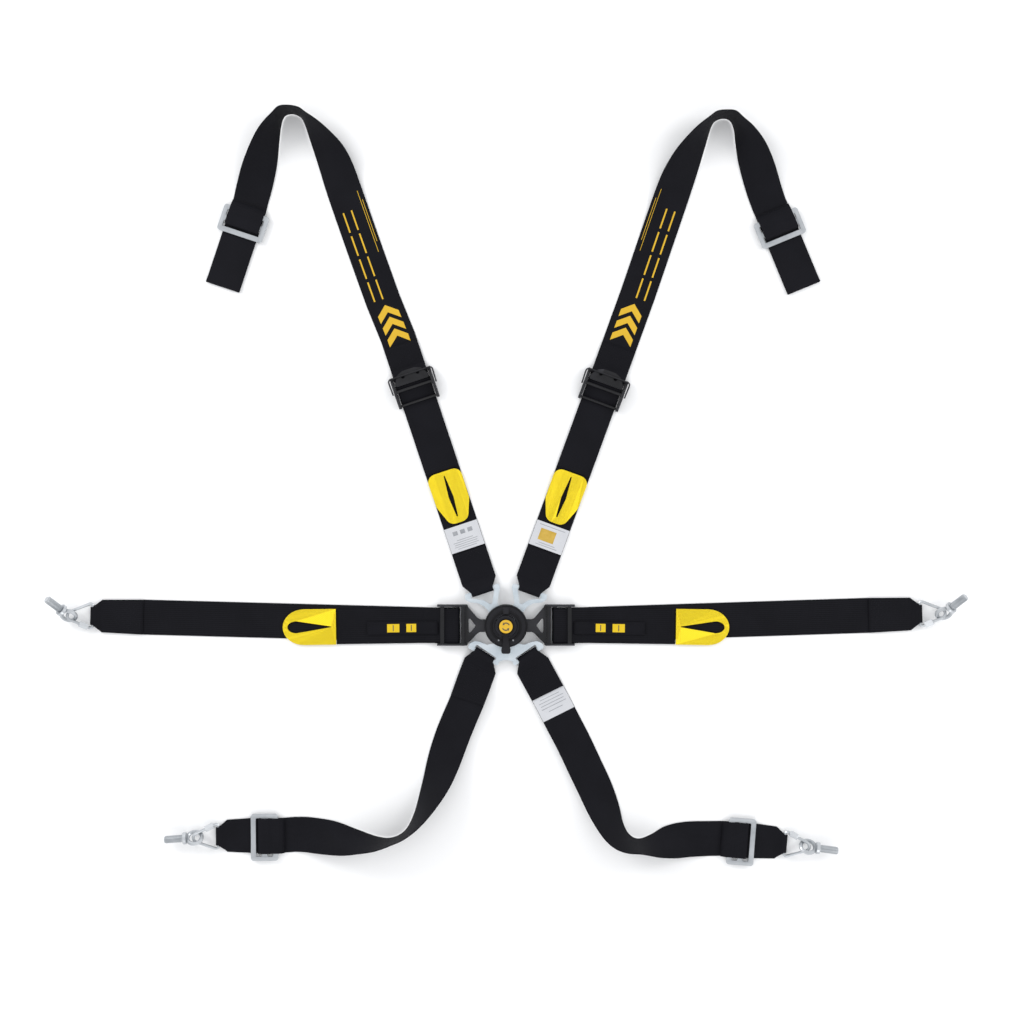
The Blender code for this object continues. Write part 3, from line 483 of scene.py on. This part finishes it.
def slab(build, band, corners, low, high, parts=1):
    """A thin raised patch on a band between four (s, t) corners, cut along its first side."""
    a, b, c, d = (Vector(corner) for corner in corners)
    points, layout = [], []
    for k in range(parts + 1):
        for place in (a.lerp(b, k / parts), d.lerp(c, k / parts)):
            for lift in (low, high):
                points.append(band.at(place.x, place.y, lift))
                layout.append((place.y, place.x))
    faces = []
    for k in range(parts):
        n, m = 4 * k, 4 * k + 4
        faces += [[n + 1, m + 1, m + 3, n + 3], [n, n + 2, m + 2, m]]
        faces += [[n, m, m + 1, n + 1], [n + 2, n + 3, m + 3, m + 2]]
    m = 4 * parts
    faces += [[0, 1, 3, 2], [m, m + 2, m + 3, m + 1]]
    if (b - a).cross(d - a) < 0:
        faces = [face[::-1] for face in faces]
    build.part(points, faces, layout)


def bar(build, band, s0, s1, t, half, low, high, parts=4):
    """A patch of constant width along the band."""
    slab(build, band, oblong(s0, s1, t - half, t + half), low, high, parts)


def around(s0, s1, half):
    """A closed rectangular stitch path."""
    return [*oblong(s0, s1, -half, half), (s0, -half)]


SPINDLE = [[0, 2, 4], [0, 4, 3], [0, 3, 5], [0, 5, 2], [1, 4, 2], [1, 3, 4], [1, 5, 3], [1, 2, 5]]


def sew(build, band, path, lift, pitch=3.4, long=2.7, wide=0.45, high=0.35):
    """Stitches along a path of (s, t) points, each a small spindle half sunk in the cloth."""
    for (s0, t0), (s1, t1) in zip(path, path[1:]):
        far = math.hypot(s1 - s0, t1 - t0)
        count = max(1, round(far / pitch))
        ds, dt = (s1 - s0) / far, (t1 - t0) / far
        for k in range(count):
            middle = (k + 0.5) * far / count
            half = min(long, far / count * 0.86) / 2
            reaches = (middle - half, middle + half)
            ends = [(s0 + ds * reach, t0 + dt * reach) for reach in reaches]
            cs, ct = s0 + ds * middle, t0 + dt * middle
            points = [
                band.at(*ends[0], lift - 0.08), band.at(*ends[1], lift - 0.08),
                band.at(cs - dt * wide, ct + ds * wide, lift),
                band.at(cs + dt * wide, ct - ds * wide, lift),
                band.at(cs, ct, lift + high), band.at(cs, ct, lift - 0.15),
            ]
            build.part(points, SPINDLE)


def zigzag(s0, s1, half, teeth):
    """A W-shaped stitch path between two distances, across a width of twice half."""
    return [(s0 if k % 2 == 0 else s1, -half + 2 * half * k / teeth) for k in range(teeth + 1)]


def tail_profile(long):
    """A strap through a three-bar slider at 0 and round an end at long, and back over the slider."""
    under = [
        (-26, FLOOR_Z), (-5.2, FLOOR_Z + 0.4), (-5.4, 7.6), (5.4, 7.6), (6.0, FLOOR_Z + 0.1),
        (18, FLOOR_Z),
    ]
    over = [
        (long - 9, SECOND_Z), (18, SECOND_Z), (8.4, SECOND_Z + 0.3), (7.8, 9.3), (-5.0, 9.3),
        (-10, 7.9), (-20, 7.7), (-28, 4.2),
    ]
    end = arc((long, END_RADIUS + FLOOR_Z), END_RADIUS, -90, 90)
    return along(under, 1.3) + end + along(over, 1.3)


# ---------------------------------------------------------------- shoulder straps

UPPER_ROUTE = {
    # lower edge x, y, direction to the upper edge, tilt of the strap
    "left": [
        (-199.7, 456.9, 19.0, 0), (-227.6, 535.0, 19.3, 0), (-255.0, 614.0, 19.3, 4),
        (-268.5, 658.0, 19, 24), (-279.5, 692.0, 21, 55), (-286.5, 714.0, 36, 78),
        (-292.5, 725.5, 62, 86), (-304.5, 731.0, 90, 90), (-316.5, 727.5, 118, 87),
        (-321.5, 714.0, 146, 79), (-324.0, 692.0, 158, 60), (-327.0, 660.0, 163, 36),
        (-333.5, 627.0, 164, 13), (-340.5, 602.0, 162.5, 0),
    ],
    "right": [
        (212.3, 465.2, 160.5, 0), (238.2, 541.0, 160.8, 0), (262.0, 611.0, 161.5, 8),
        (275.5, 653.0, 162, 31), (285.5, 687.0, 160, 58), (292.0, 709.5, 147, 79),
        (298.0, 720.0, 118, 86), (309.5, 724.5, 90, 90), (320.5, 721.0, 62, 87),
        (326.0, 708.0, 34, 79), (328.0, 690.0, 23, 60), (332.5, 660.0, 19.5, 32),
        (343.0, 621.0, 19.5, 8), (352.5, 594.0, 21.6, 0),
    ],
}
TAIL = {"left": ((-375.0, 574.0), 251.6), "right": ((391.0, 567.0), -67.6)}


def shoulder(side):
    sign = -1 if side == "left" else 1
    bar_at = (sign * SHOULDER_BAR[0], SHOULDER_BAR[1])
    heading = 90 - sign * SHOULDER_LEAN[side]
    body = f"strap_shoulder_{side}"
    inner = LOOP_RADIUS + THICK / 2 - 0.1
    loop = arc((0, TONGUE_MID), inner, 80, 280)
    wrap = arc((ADJUSTER_AT, 5.0), 4.25, -90, 105)
    profile = (
        along([(60, SECOND_Z), (16, SECOND_Z + 0.4), loop[0]])
        + loop[1:-1]
        + along([loop[-1], (14, FLOOR_Z), (296, FLOOR_Z), wrap[0]])
        + wrap[1:-1]
        + along([wrap[-1], (ADJUSTER_AT - 24, SECOND_Z), (FREE_END_AT, SECOND_Z)])
    )
    lower = Band(straight_rows(profile, bar_at, heading, widening(LOOP_WIDTH, 2.0, 12.0)))
    lower_name = f"shoulder_lower_strap_{side}"
    strap(lower_name, lower, "webbing", body, f"shoulder_lower_webbing_{side}")

    loop_s = ADJUSTER_AT + 12.5
    loop = arc((loop_s, 4.9), 3.5, 260, 100)
    start = straight_rows(
        along([(loop_s + 46, SECOND_Z), (loop_s + 12, SECOND_Z), loop[-1]])
        + list(reversed(loop))[1:-1]
        + along([loop[0], (loop_s + 12, FLOOR_Z), (loop_s + 56, FLOOR_Z)]),
        bar_at,
        heading,
    )
    place, tail_heading = TAIL[side]
    tail = straight_rows(tail_profile(TAIL_LONG[side]), place, tail_heading)
    upper = Band(start + bend_rows(UPPER_ROUTE[side], side == "right") + tail)
    upper_name = f"shoulder_upper_strap_{side}"
    strap(upper_name, upper, "webbing", body, f"shoulder_upper_webbing_{side}")

    # Everything on the straight stretch is placed by its distance from the tongue's bar.
    flat = Band(straight_rows([(0, 0), (420, 0)], bar_at, heading))
    black = Build()
    face = SECOND_Z + THICK / 2
    for s in (18.5, 58.0):
        sew(black, flat, [(s, -21.5), (s, 21.5)], face)
    for number in range(4):
        first = 24 + number * 8.5
        sew(black, flat, zigzag(first, first + 6.5, 21, 7), face)
    for s in (FREE_END_AT + 3.0, FREE_END_AT + 7.5):
        sew(black, flat, [(s, -22), (s, 22)], face)
    begin, end = loop_s + 11, loop_s + 43
    sew(black, flat, around(begin, end, 21), face)
    sew(black, flat, [(begin + 3, -20), (end - 3, 20)], face)
    sew(black, flat, [(begin + 3, 20), (end - 3, -20)], face)
    black.make(f"shoulder_stitching_{side}", "thread", body, "webbing")
    prints(side, upper, body)
    label(side, flat, body)
    name = f"shoulder_finger_loop_{side}"
    ride, node = f"shoulder_loop_{side}", f"shoulder_pull_loop_{side}"
    finger_loop(name, bar_at, heading, FREE_END_AT - 1.0, -1, ride, node, False)


PRINT_FROM = {"left": (-150.0, 389.0), "right": (160.0, 389.0)}
CHEVRONS_FROM = 15.0
CHEVRON_PITCH = 18.0
DASHES_FROM = 84.0
DASH_PITCH = 35.0
DASH_LONG = 29.5


def prints(side, upper, body):
    """Gold dashes in pairs, three chevrons below them and two plain lines above."""
    sign = -1 if side == "left" else 1
    base = upper.nearest(*PRINT_FROM[side], high=1.2)
    gold = Build()
    low, high = THICK / 2 - 0.1, THICK / 2 + 0.22
    for number in range(3):
        s = base + CHEVRONS_FROM + number * CHEVRON_PITCH
        for way in (-1, 1):
            corners = [(s, way * 15.5), (s + 13, 0), (s + 24, 0), (s + 11, way * 15.5)]
            slab(gold, upper, corners, low, high, 3)
    for number in range(4):
        s = base + DASHES_FROM + number * DASH_PITCH
        for t in (sign * 11.8, -sign * 0.5):
            bar(gold, upper, s, s + DASH_LONG, t, 1.1, low, high, 6)
    for t, s0, s1 in ((sign * -17.5, 150, 242), (sign * -20.5, 165, 228)):
        bar(gold, upper, base + s0, base + s1, t, 0.35, low, high, 12)
    gold.make(f"shoulder_print_{side}", "print", body, "yellow_webbing", False)


# distance along the strap, half length
LABEL_RULES = {
    "left": ((66, 14), (69, 18), (72, 17), (75, 18), (78, 12)),
    "right": ((94.5, 19), (66, 16), (69, 12)),
}
RULE_WIDE = 0.8


def label(side, flat, body):
    """A pale cloth label with plain printed rules; the right one has a foil patch."""
    pale, ink = Build(), Build()
    low = SECOND_Z - 0.2 - 0.4
    top = SECOND_Z - 0.2 + 0.4
    slab(pale, flat, oblong(62.5, 99.0, -LABEL_HALF, LABEL_HALF), low, top, 6)
    thing = pale.make(f"shoulder_label_cloth_{side}", "label", body, "label", False)
    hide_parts(f"shoulder_label_{side}")
    for s, half in LABEL_RULES[side]:
        slab(ink, flat, oblong(s, s + RULE_WIDE, -half, half), top - 0.02, top + 0.05)
    if side == "left":
        for t in (-11, 0, 11):
            slab(ink, flat, oblong(86, 92, t - 3.5, t + 3.5), top - 0.02, top + 0.05)
    ink.make(f"shoulder_label_rules_{side}", "grey_ink", body, "label", False)
    if side == "right":
        foil = Build()
        slab(foil, flat, oblong(73, 90, -15, 8), top, top + 0.12)
        foil.make("shoulder_label_foil", "foil", body, "label", False)


# ---------------------------------------------------------------- yellow finger loops


def half_round(base, long, half, reach):
    """A tongue shape: from a base line out to a half-round end at long, reach long itself."""
    points = [base[1]]
    for step in range(17):
        turn = math.pi / 2 - math.pi * step / 16
        points.append((long - reach + reach * math.cos(turn), half * math.sin(turn)))
    return points + [base[0]]


def finger_loop(name, place, heading, start_s, way, body, node, lap_like):
    """A yellow tape sewn to the free end of a strap, folded round a finger opening."""
    turn = math.radians(heading)
    at = (place[0] + start_s * math.cos(turn), place[1] + start_s * math.sin(turn))
    long = PULL_LOOP_LONG
    if lap_like:
        outline = half_round([(0, -25.5), (0, 25.5)], long, 25.5, 30.0)
        slot = half_round([(7, -0.6), (7, 0.6)], long - 6.5, 8.6, 13.0)
    else:
        hip, tip, half = long - 30, long - 9, long * 0.5
        outline = rounded(
            [(0, -25.5), (0, 25.5), (hip, 24.5), (long, 13), (long, -13), (hip, -24.5)], 12
        )
        slot = rounded(
            [(6, -0.8), (6, 0.8), (half, 3.6), (tip, 1.0), (tip, -1.0), (half, -3.6)], 1.2
        )
    curve = bpy.data.curves.new(name, "CURVE")
    curve.dimensions = "2D"
    curve.fill_mode = "BOTH"
    curve.extrude = 0.95 * MM
    curve.bevel_depth = 0.25 * MM
    curve.offset = -0.25 * MM
    curve.bevel_resolution = 2
    for points in (outline, slot):
        spline = curve.splines.new("POLY")
        spline.points.add(len(points) - 1)
        for point, (x, y) in zip(spline.points, points, strict=True):
            point.co = (way * x * MM, y * MM, 0, 1)
        spline.use_cyclic_u = True
    helper = bpy.data.objects.new(name + "_outline", curve)
    bpy.context.scene.collection.objects.link(helper)
    drawn = helper.evaluated_get(bpy.context.evaluated_depsgraph_get())
    mesh = bpy.data.meshes.new_from_object(drawn)
    bpy.data.objects.remove(helper)
    layer = mesh.uv_layers.new(name="UVMap")
    for loop in mesh.loops:
        x, y, _ = mesh.vertices[loop.vertex_index].co
        layer.data[loop.index].uv = (y, x)
    centre = Vector((*at, SECOND_Z + 0.55)) * MM
    mesh.transform(Matrix.Translation(centre) @ Matrix.Rotation(turn, 4, "Z"))
    mesh.polygons.foreach_set("use_smooth", [False] * len(mesh.polygons))
    mesh.materials.clear()
    mesh.materials.append(LOOKS["yellow"])
    thing = bpy.data.objects.new(name, mesh)
    bpy.context.scene.collection.objects.link(thing)
    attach(thing, body)
    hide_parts(node)

    flat = Band(straight_rows([(0, 0), (way * long, 0)], at, heading))
    thread = Build()
    lift = SECOND_Z + 0.55 + 1.2
    for s in (3.0, 6.5):
        sew(thread, flat, [(s, -22), (s, 22)], lift, wide=0.4)
    thread.make(name + "_stitching", "yellow_thread", body, "yellow_webbing")


# ---------------------------------------------------------------- lap straps


def lap(side):
    sign = -1 if side == "left" else 1
    body = "buckle" if side == "left" else "lap_right"
    bar_z, turn_at = 4.7, 100.0
    wrap = arc((LAP_BAR_X, bar_z), 3.6, 100, 260)
    end = LAP_END[side]
    eye = arc((end, 3.9), 2.1 + 0.4 + THICK / 2, 90, -90)
    rise = LAP_RISE[side]
    heading = rise if sign > 0 else 180 - rise
    flat_heading = 0.0 if sign > 0 else 180.0
    place = (sign * turn_at, 0.0)
    upper = along([(LAP_FREE_END, SECOND_Z), (116, SECOND_Z), (94, 8.3), (82, 8.4), wrap[0]])
    lower = along(
        [wrap[-1], (82, FLOOR_Z + 0.1), (LAP_SEWN_FROM, FLOOR_Z), (end - 12, FLOOR_Z), eye[-1]]
    )
    back = along([eye[0], (end - 12, SECOND_Z + 0.2), (LAP_SEWN_FROM, SECOND_Z)])
    free = LAP_FREE_RISE if sign > 0 else 180 - LAP_FREE_RISE
    width = narrowing(end - turn_at - 14)
    rows = []
    for s, z in upper + wrap[1:-1]:
        way = free if s > turn_at else flat_heading
        rows += straight_rows([(s - turn_at, z)], place, way)
    for s, z in lower + list(reversed(eye))[1:-1] + back:
        way = heading if s > turn_at else flat_heading
        rows += straight_rows([(s - turn_at, z)], place, way, width)
    strap(f"lap_strap_{side}", Band(rows), "wide_webbing", body, f"lap_webbing_{side}")

    flat = Band(straight_rows([(0, 0), (end - turn_at, 0)], place, heading))
    black = Build()
    face = SECOND_Z + THICK / 2
    first, last = LAP_SEWN_FROM - turn_at + 4, end - turn_at - 17
    sew(black, flat, around(first, last, 21), face)
    for number in range(5):
        s = first + 3 + number * (last - first - 6) / 5
        sew(black, flat, zigzag(s, s + 8, 19.5, 8), face)
    top = Band(straight_rows([(0, 0), (LAP_FREE_END - turn_at, 0)], place, free))
    for s in (LAP_FREE_END - turn_at - 4, LAP_FREE_END - turn_at - 8):
        sew(black, top, [(s, -22), (s, 22)], face)
    black.make(f"lap_stitching_{side}", "thread", body, "webbing")
    name, start = f"lap_finger_loop_{side}", LAP_FREE_END - turn_at + 1.0
    finger_loop(name, place, free, start, 1, f"lap_loop_{side}", f"lap_pull_loop_{side}", True)
    release_tab(side, sign, free)


def release_tab(side, sign, heading):
    """The tab that frees the lap adjuster: a narrow tape with two small yellow tags."""
    at = (sign * 96.5, -3.0)
    profile = along([(0.5, 9.6), (6, 9.2), (20, 4.3), (102, 4.3)], 4.0)
    tape = Band(straight_rows(profile, at, heading, lambda s: TAPE_WIDTH))
    body = f"tab_{side}"
    name = f"release_tab_{side}"
    node = f"lap_release_tab_{side}"
    strap(name, tape, "webbing", body, node, TAPE_THICK, TAPE_SECTION)
    black, yellow, ink = Build(), Build(), Build()
    end = tape.s[-1] - 3
    sew(black, tape, oblong(22, end, -7, 7), 0.5, wide=0.35)
    black.make(name + "_stitching", "thread", body, "webbing")
    half = 5.9
    for s0, s1 in ((32, 46), (56, 73.5)):
        slab(yellow, tape, oblong(s0, s1, -half, half), 0.4, 0.8)
        middle = (s0 + s1) / 2
        mark = oblong(middle - 0.6, middle + 0.6, 1.6 - half, half - 1.6)
        slab(ink, tape, mark, 0.75, 0.86)
    yellow.make(name + "_tags", "tag", body, "yellow_webbing", False)
    ink.make(name + "_tag_marks", "ink", body, "label", False)


# ---------------------------------------------------------------- crotch straps

CROTCH_ROUTE = {
    # lower edge x, y, direction to the upper edge, tilt of the strap
    "left": [
        (-59.3, -46.5, -27, 0), (-66.7, -66.0, -22, 3), (-74.4, -88.0, -18, 9),
        (-78.7, -100.0, -17, 11), (-90.0, -126.0, -18, 10), (-100.5, -152.0, -20, 10),
        (-111.0, -186.0, -28, 20), (-120.0, -226.0, -38, 46), (-131.0, -268.0, -50, 72),
        (-144.0, -293.0, -64, 86), (-163.0, -303.5, -84, 88), (-184.0, -302.0, -94, 77),
        (-212.0, -292.0, -95, 57), (-245.0, -280.0, -92, 29), (-280.0, -274.5, -90, 7),
        (-301.0, -274.0, -89.5, 0),
    ],
    "right": [
        (60.5, -46.5, 207, 0), (71.0, -66.0, 206, 1), (82.0, -86.0, 206, 2),
        (89.0, -99.0, 206, 3), (104.0, -128.0, 206, 5), (119.0, -157.0, 206, 7),
        (135.0, -191.0, 206, 8), (151.0, -226.0, 208, 13), (161.5, -257.0, 213, 30),
        (168.0, -284.0, 228, 52), (177.0, -299.5, 246, 69), (190.0, -305.0, 262, 76),
        (207.0, -299.0, 270, 64), (228.0, -287.0, 271, 38), (256.0, -281.0, 269, 12),
        (292.0, -280.0, 267, 0),
    ],
}
SEWN_POINTS = {"left": 4, "right": 3}


def crotch(side):
    sign = -1 if side == "left" else 1
    bar_at = (sign * CROTCH_BAR[0], -CROTCH_BAR[1])
    heading = 180 + CROTCH_HEADING if side == "left" else -CROTCH_HEADING
    body = f"strap_crotch_{side}"
    loop = arc((0, TONGUE_MID), LOOP_RADIUS + THICK / 2 - 0.1, 80, 280)
    route = CROTCH_ROUTE[side]
    outer_first = side == "left"
    middle = bend_rows(route, outer_first)
    sewn = bend_rows(route[: SEWN_POINTS[side]], outer_first, LAYER)
    start = straight_rows(loop, bar_at, heading, lambda s: 31.0)
    place, tail_heading = CROTCH_SLIDER[side], CROTCH_TAIL[side]
    long = CROTCH_TAIL_LONG[side]
    profile = tail_profile(long)
    eye = arc((long, 3.9), 2.1 + 0.4 + THICK / 2, -90, 90)
    # The tail's end is drawn as a wider turn here, round the wire of its quick link.
    turn_in = [number for number, (s, z) in enumerate(profile) if s >= long - 0.01]
    profile = profile[: turn_in[0]] + [(long - 12, FLOOR_Z)] + eye + profile[turn_in[-1] + 1 :]
    tail = straight_rows(profile, place, tail_heading, narrowing(long - 14))
    whole = Band(sewn[::-1] + start + middle + tail)
    strap(f"crotch_strap_{side}", whole, "webbing", body, f"crotch_webbing_{side}")

    black = Build()
    # The sewn layer is the band's first stretch, and its upper side faces away from the lower one.
    top = Band(sewn)
    facing = THICK / 2 if top.normals[0].z > 0 else -THICK / 2
    way = 1 if facing > 0 else -1
    total = top.s[-1]
    sew(black, top, around(3, total - 3, 21), facing, high=0.35 * way)
    for number in range(4):
        s = 5 + number * (total - 10) / 4
        sew(black, top, zigzag(s, s + (total - 12) / 5, 19, 8), facing, high=0.35 * way)
    black.make(f"crotch_stitching_{side}", "thread", body, "webbing")
    if side == "right":
        crotch_label(Band(middle), body)


def crotch_label(band, body):
    """A second pale label on the right crotch strap."""
    up = 1 if band.normals[20].z > 0 else -1
    face = THICK / 2
    s0, s1 = band.nearest(58.0, -95.0), band.nearest(77.0, -127.0)
    pale, ink = Build(), Build()
    top = face + 0.35
    slab(pale, band, oblong(s0, s1, -LABEL_HALF, LABEL_HALF), up * (face - 0.1), up * top, 12)
    pale.make("crotch_label_cloth", "label", body, "label", False)
    for share, half in ((0.2, 15), (0.32, 19), (0.44, 18), (0.56, 19), (0.72, 11)):
        s = s0 + (s1 - s0) * share
        slab(ink, band, oblong(s, s + RULE_WIDE, -half, half), up * (top - 0.1), up * (top + 0.12))
    ink.make("crotch_label_rules", "grey_ink", body, "label", False)


# ---------------------------------------------------------------- buckle and bolts


def turned_ring(build, centre, profile, steps=64):
    """A turned ring from a closed profile of (radius, height)."""
    count = len(profile)
    points = []
    for step in range(steps):
        angle = math.tau * step / steps
        for r, z in profile:
            points.append((centre[0] + r * math.cos(angle), centre[1] + r * math.sin(angle), z))
    faces = []
    for step in range(steps):
        here, there = step * count, (step + 1) % steps * count
        for k in range(count):
            n = (k + 1) % count
            faces.append([here + k, there + k, there + n, here + n])
    build.part(points, faces)


# radius, height
INNER_RIM = [(19.0, 21.8), (19.0, 22.5), (19.4, 22.9), (22.2, 22.9), (22.6, 22.5), (22.6, 21.8)]
OUTER_RIM = [(28.2, 20.8), (28.2, 21.6), (28.6, 21.9), (29.4, 21.6), (30.2, 20.4), (30.2, 19.6)]
INDEX_DOT = [(0.05, 22.6), (0.05, 23.2), (0.9, 23.2), (1.2, 22.9), (1.2, 22.6)]


def buckle():
    """The housing's raised rims and index dots, and the two turn arrows on the knob's cap."""
    rings = Build()
    turned_ring(rings, (0, 0), INNER_RIM)
    turned_ring(rings, (0, 0), OUTER_RIM)
    rings.make("buckle_rim_rings", "black_plastic", "buckle", "black_plastic")
    dots = Build()
    for x in (-10.3, 10.2):
        turned_ring(dots, (x, -19.7), INDEX_DOT, 16)
    dots.make("buckle_index_dots", "grey_ink", "buckle", "black_plastic")
    arrows = Build()
    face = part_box("knob_cap")[1].z / MM
    for start in (25, 205):
        points, faces = [], []
        count = 14
        for k in range(count + 1):
            angle = math.radians(start + 95 * k / count)
            for radius in (4.4, 5.9):
                for z in (face - 0.02, face + 0.12):
                    points.append((radius * math.cos(angle), radius * math.sin(angle), z))
        for k in range(count):
            n, m = 4 * k, 4 * k + 4
            faces += [[n + 1, n + 3, m + 3, m + 1], [n, m, m + 2, n + 2]]
            faces += [[n, n + 1, m + 1, m], [n + 2, m + 2, m + 3, n + 3]]
        faces += [[0, 2, 3, 1], [4 * count, 4 * count + 1, 4 * count + 3, 4 * count + 2]]
        arrows.part(points, faces)
        angle = math.radians(start + 97)
        ahead = math.radians(start + 132)
        tips = [(3.1, angle), (7.2, angle), (5.0, ahead)]
        points = [
            (r * math.cos(a), r * math.sin(a), z) for z in (face - 0.02, face + 0.12) for r, a in tips
        ]
        arrows.part(points, [[3, 4, 5], [2, 1, 0], [0, 1, 4, 3], [1, 2, 5, 4], [2, 0, 3, 5]])
    arrows.make("knob_turn_arrows", "ink", "knob", "black_plastic", False)


def threads():
    """The screw thread on each eye bolt's shank, from its end towards its collar."""
    for mount in frame["record"]["mounts"]:
        if not mount["name"].endswith("_bolt_end"):
            continue
        name = mount["name"].removesuffix("_bolt_end")
        axis = Vector(mount["axis"]).normalized()
        end = Vector(mount["pos_m"]) / MM
        turn = axis.to_track_quat("Z", "Y").to_matrix()
        build = Build()
        pitch, steps, length, radius = 1.27, 20, 23.0, 5.0
        shape = [(-0.15, -0.5), (0.42, -0.1), (0.42, 0.1), (-0.15, 0.5)]
        total = int(length / pitch * steps)
        points, faces = [], []
        for k in range(total + 1):
            angle = math.tau * k / steps
            fade = min(1.0, k / 8, (total - k) / 8)
            for r, z in shape:
                out = radius + (r if r < 0 else r * fade)
                depth = -1.8 - pitch * k / steps + z
                around_shank = Vector((out * math.cos(angle), out * math.sin(angle), depth))
                points.append(end + turn @ around_shank)
        for k in range(total):
            for c in range(4):
                n = (c + 1) % 4
                faces.append([4 * k + c, 4 * k + n, 4 * k + 4 + n, 4 * k + 4 + c])
        faces += [[3, 2, 1, 0], [4 * total + c for c in range(4)]]
        build.part(points, faces)
        build.make(f"{name}_bolt_thread", "zinc", f"eye_{name}", "zinc")


# ---------------------------------------------------------------- carried CAD nodes

HARD = ("black_plastic", "yellow_plastic", "black_metal", "alloy", "zinc")


def dress_nodes():
    """The procedural finish on every hard node that stays."""
    slots = {row["node"]: row["material_slot"] for row in frame["record"]["subparts"]}
    for name, thing in nodes.items():
        if slots[name] not in HARD:
            continue
        thing.data.materials.clear()
        thing.data.materials.append(LOOKS[slots[name]])


# ---------------------------------------------------------------- camera and light


CAMERA_AT = (0.0086, 0.162, 2.222)
LENS = 54.6
FLOOR_SPAN = 6.0
FLOOR_DROP = -0.0006
LIGHTS = (
    # name, place, size, power
    ("key_light", (-2.0, 1.5, 1.35), 1.1, 26.0),
    ("fill_light", (2.2, 0.9, 1.25), 1.0, 16.0),
    ("front_light", (0.2, -1.9, 1.5), 1.4, 10.0),
)


def aim(thing, place, target):
    thing.location = place
    thing.rotation_mode = "QUATERNION"
    thing.rotation_quaternion = (Vector(target) - Vector(place)).to_track_quat("-Z", "Y")


def studio():
    """Camera over the harness, three soft lights, a pale world and a pale floor."""
    camera = bpy.data.objects.new("camera", bpy.data.cameras.new("camera"))
    bpy.context.scene.collection.objects.link(camera)
    camera.location = CAMERA_AT
    camera.data.lens = LENS
    camera.data.sensor_width = 36.0
    bpy.context.scene.camera = camera

    for name, place, size, power in LIGHTS:
        data = bpy.data.lights.new(name, "AREA")
        data.size = size
        data.energy = power
        light = bpy.data.objects.new(name, data)
        bpy.context.scene.collection.objects.link(light)
        aim(light, place, (0, 0.1, 0))

    world = bpy.data.worlds.new("studio")
    world.use_nodes = True
    background = world.node_tree.nodes["Background"]
    background.inputs["Color"].default_value = (0.97, 0.98, 1.0, 1.0)
    background.inputs["Strength"].default_value = 0.95
    bpy.context.scene.world = world

    mesh = bpy.data.meshes.new("floor")
    signs = ((-1, -1), (1, -1), (1, 1), (-1, 1))
    corners = [(x * FLOOR_SPAN, y * FLOOR_SPAN, FLOOR_DROP) for x, y in signs]
    mesh.from_pydata(corners, [], [[0, 1, 2, 3]])
    floor = bpy.data.objects.new("floor", mesh)
    bpy.context.scene.collection.objects.link(floor)
    look = Look("pale_floor", 0.9, Specular_IOR_Level=0.1)
    look.put("Base Color", (0.93, 0.93, 0.93, 1.0))
    mesh.materials.append(look.material)


bpy.context.scene.view_settings.view_transform = "Standard"
studio()
dress_nodes()
for side in SIDES:
    shoulder(side)
    lap(side)
    crotch(side)
buckle()
threads()
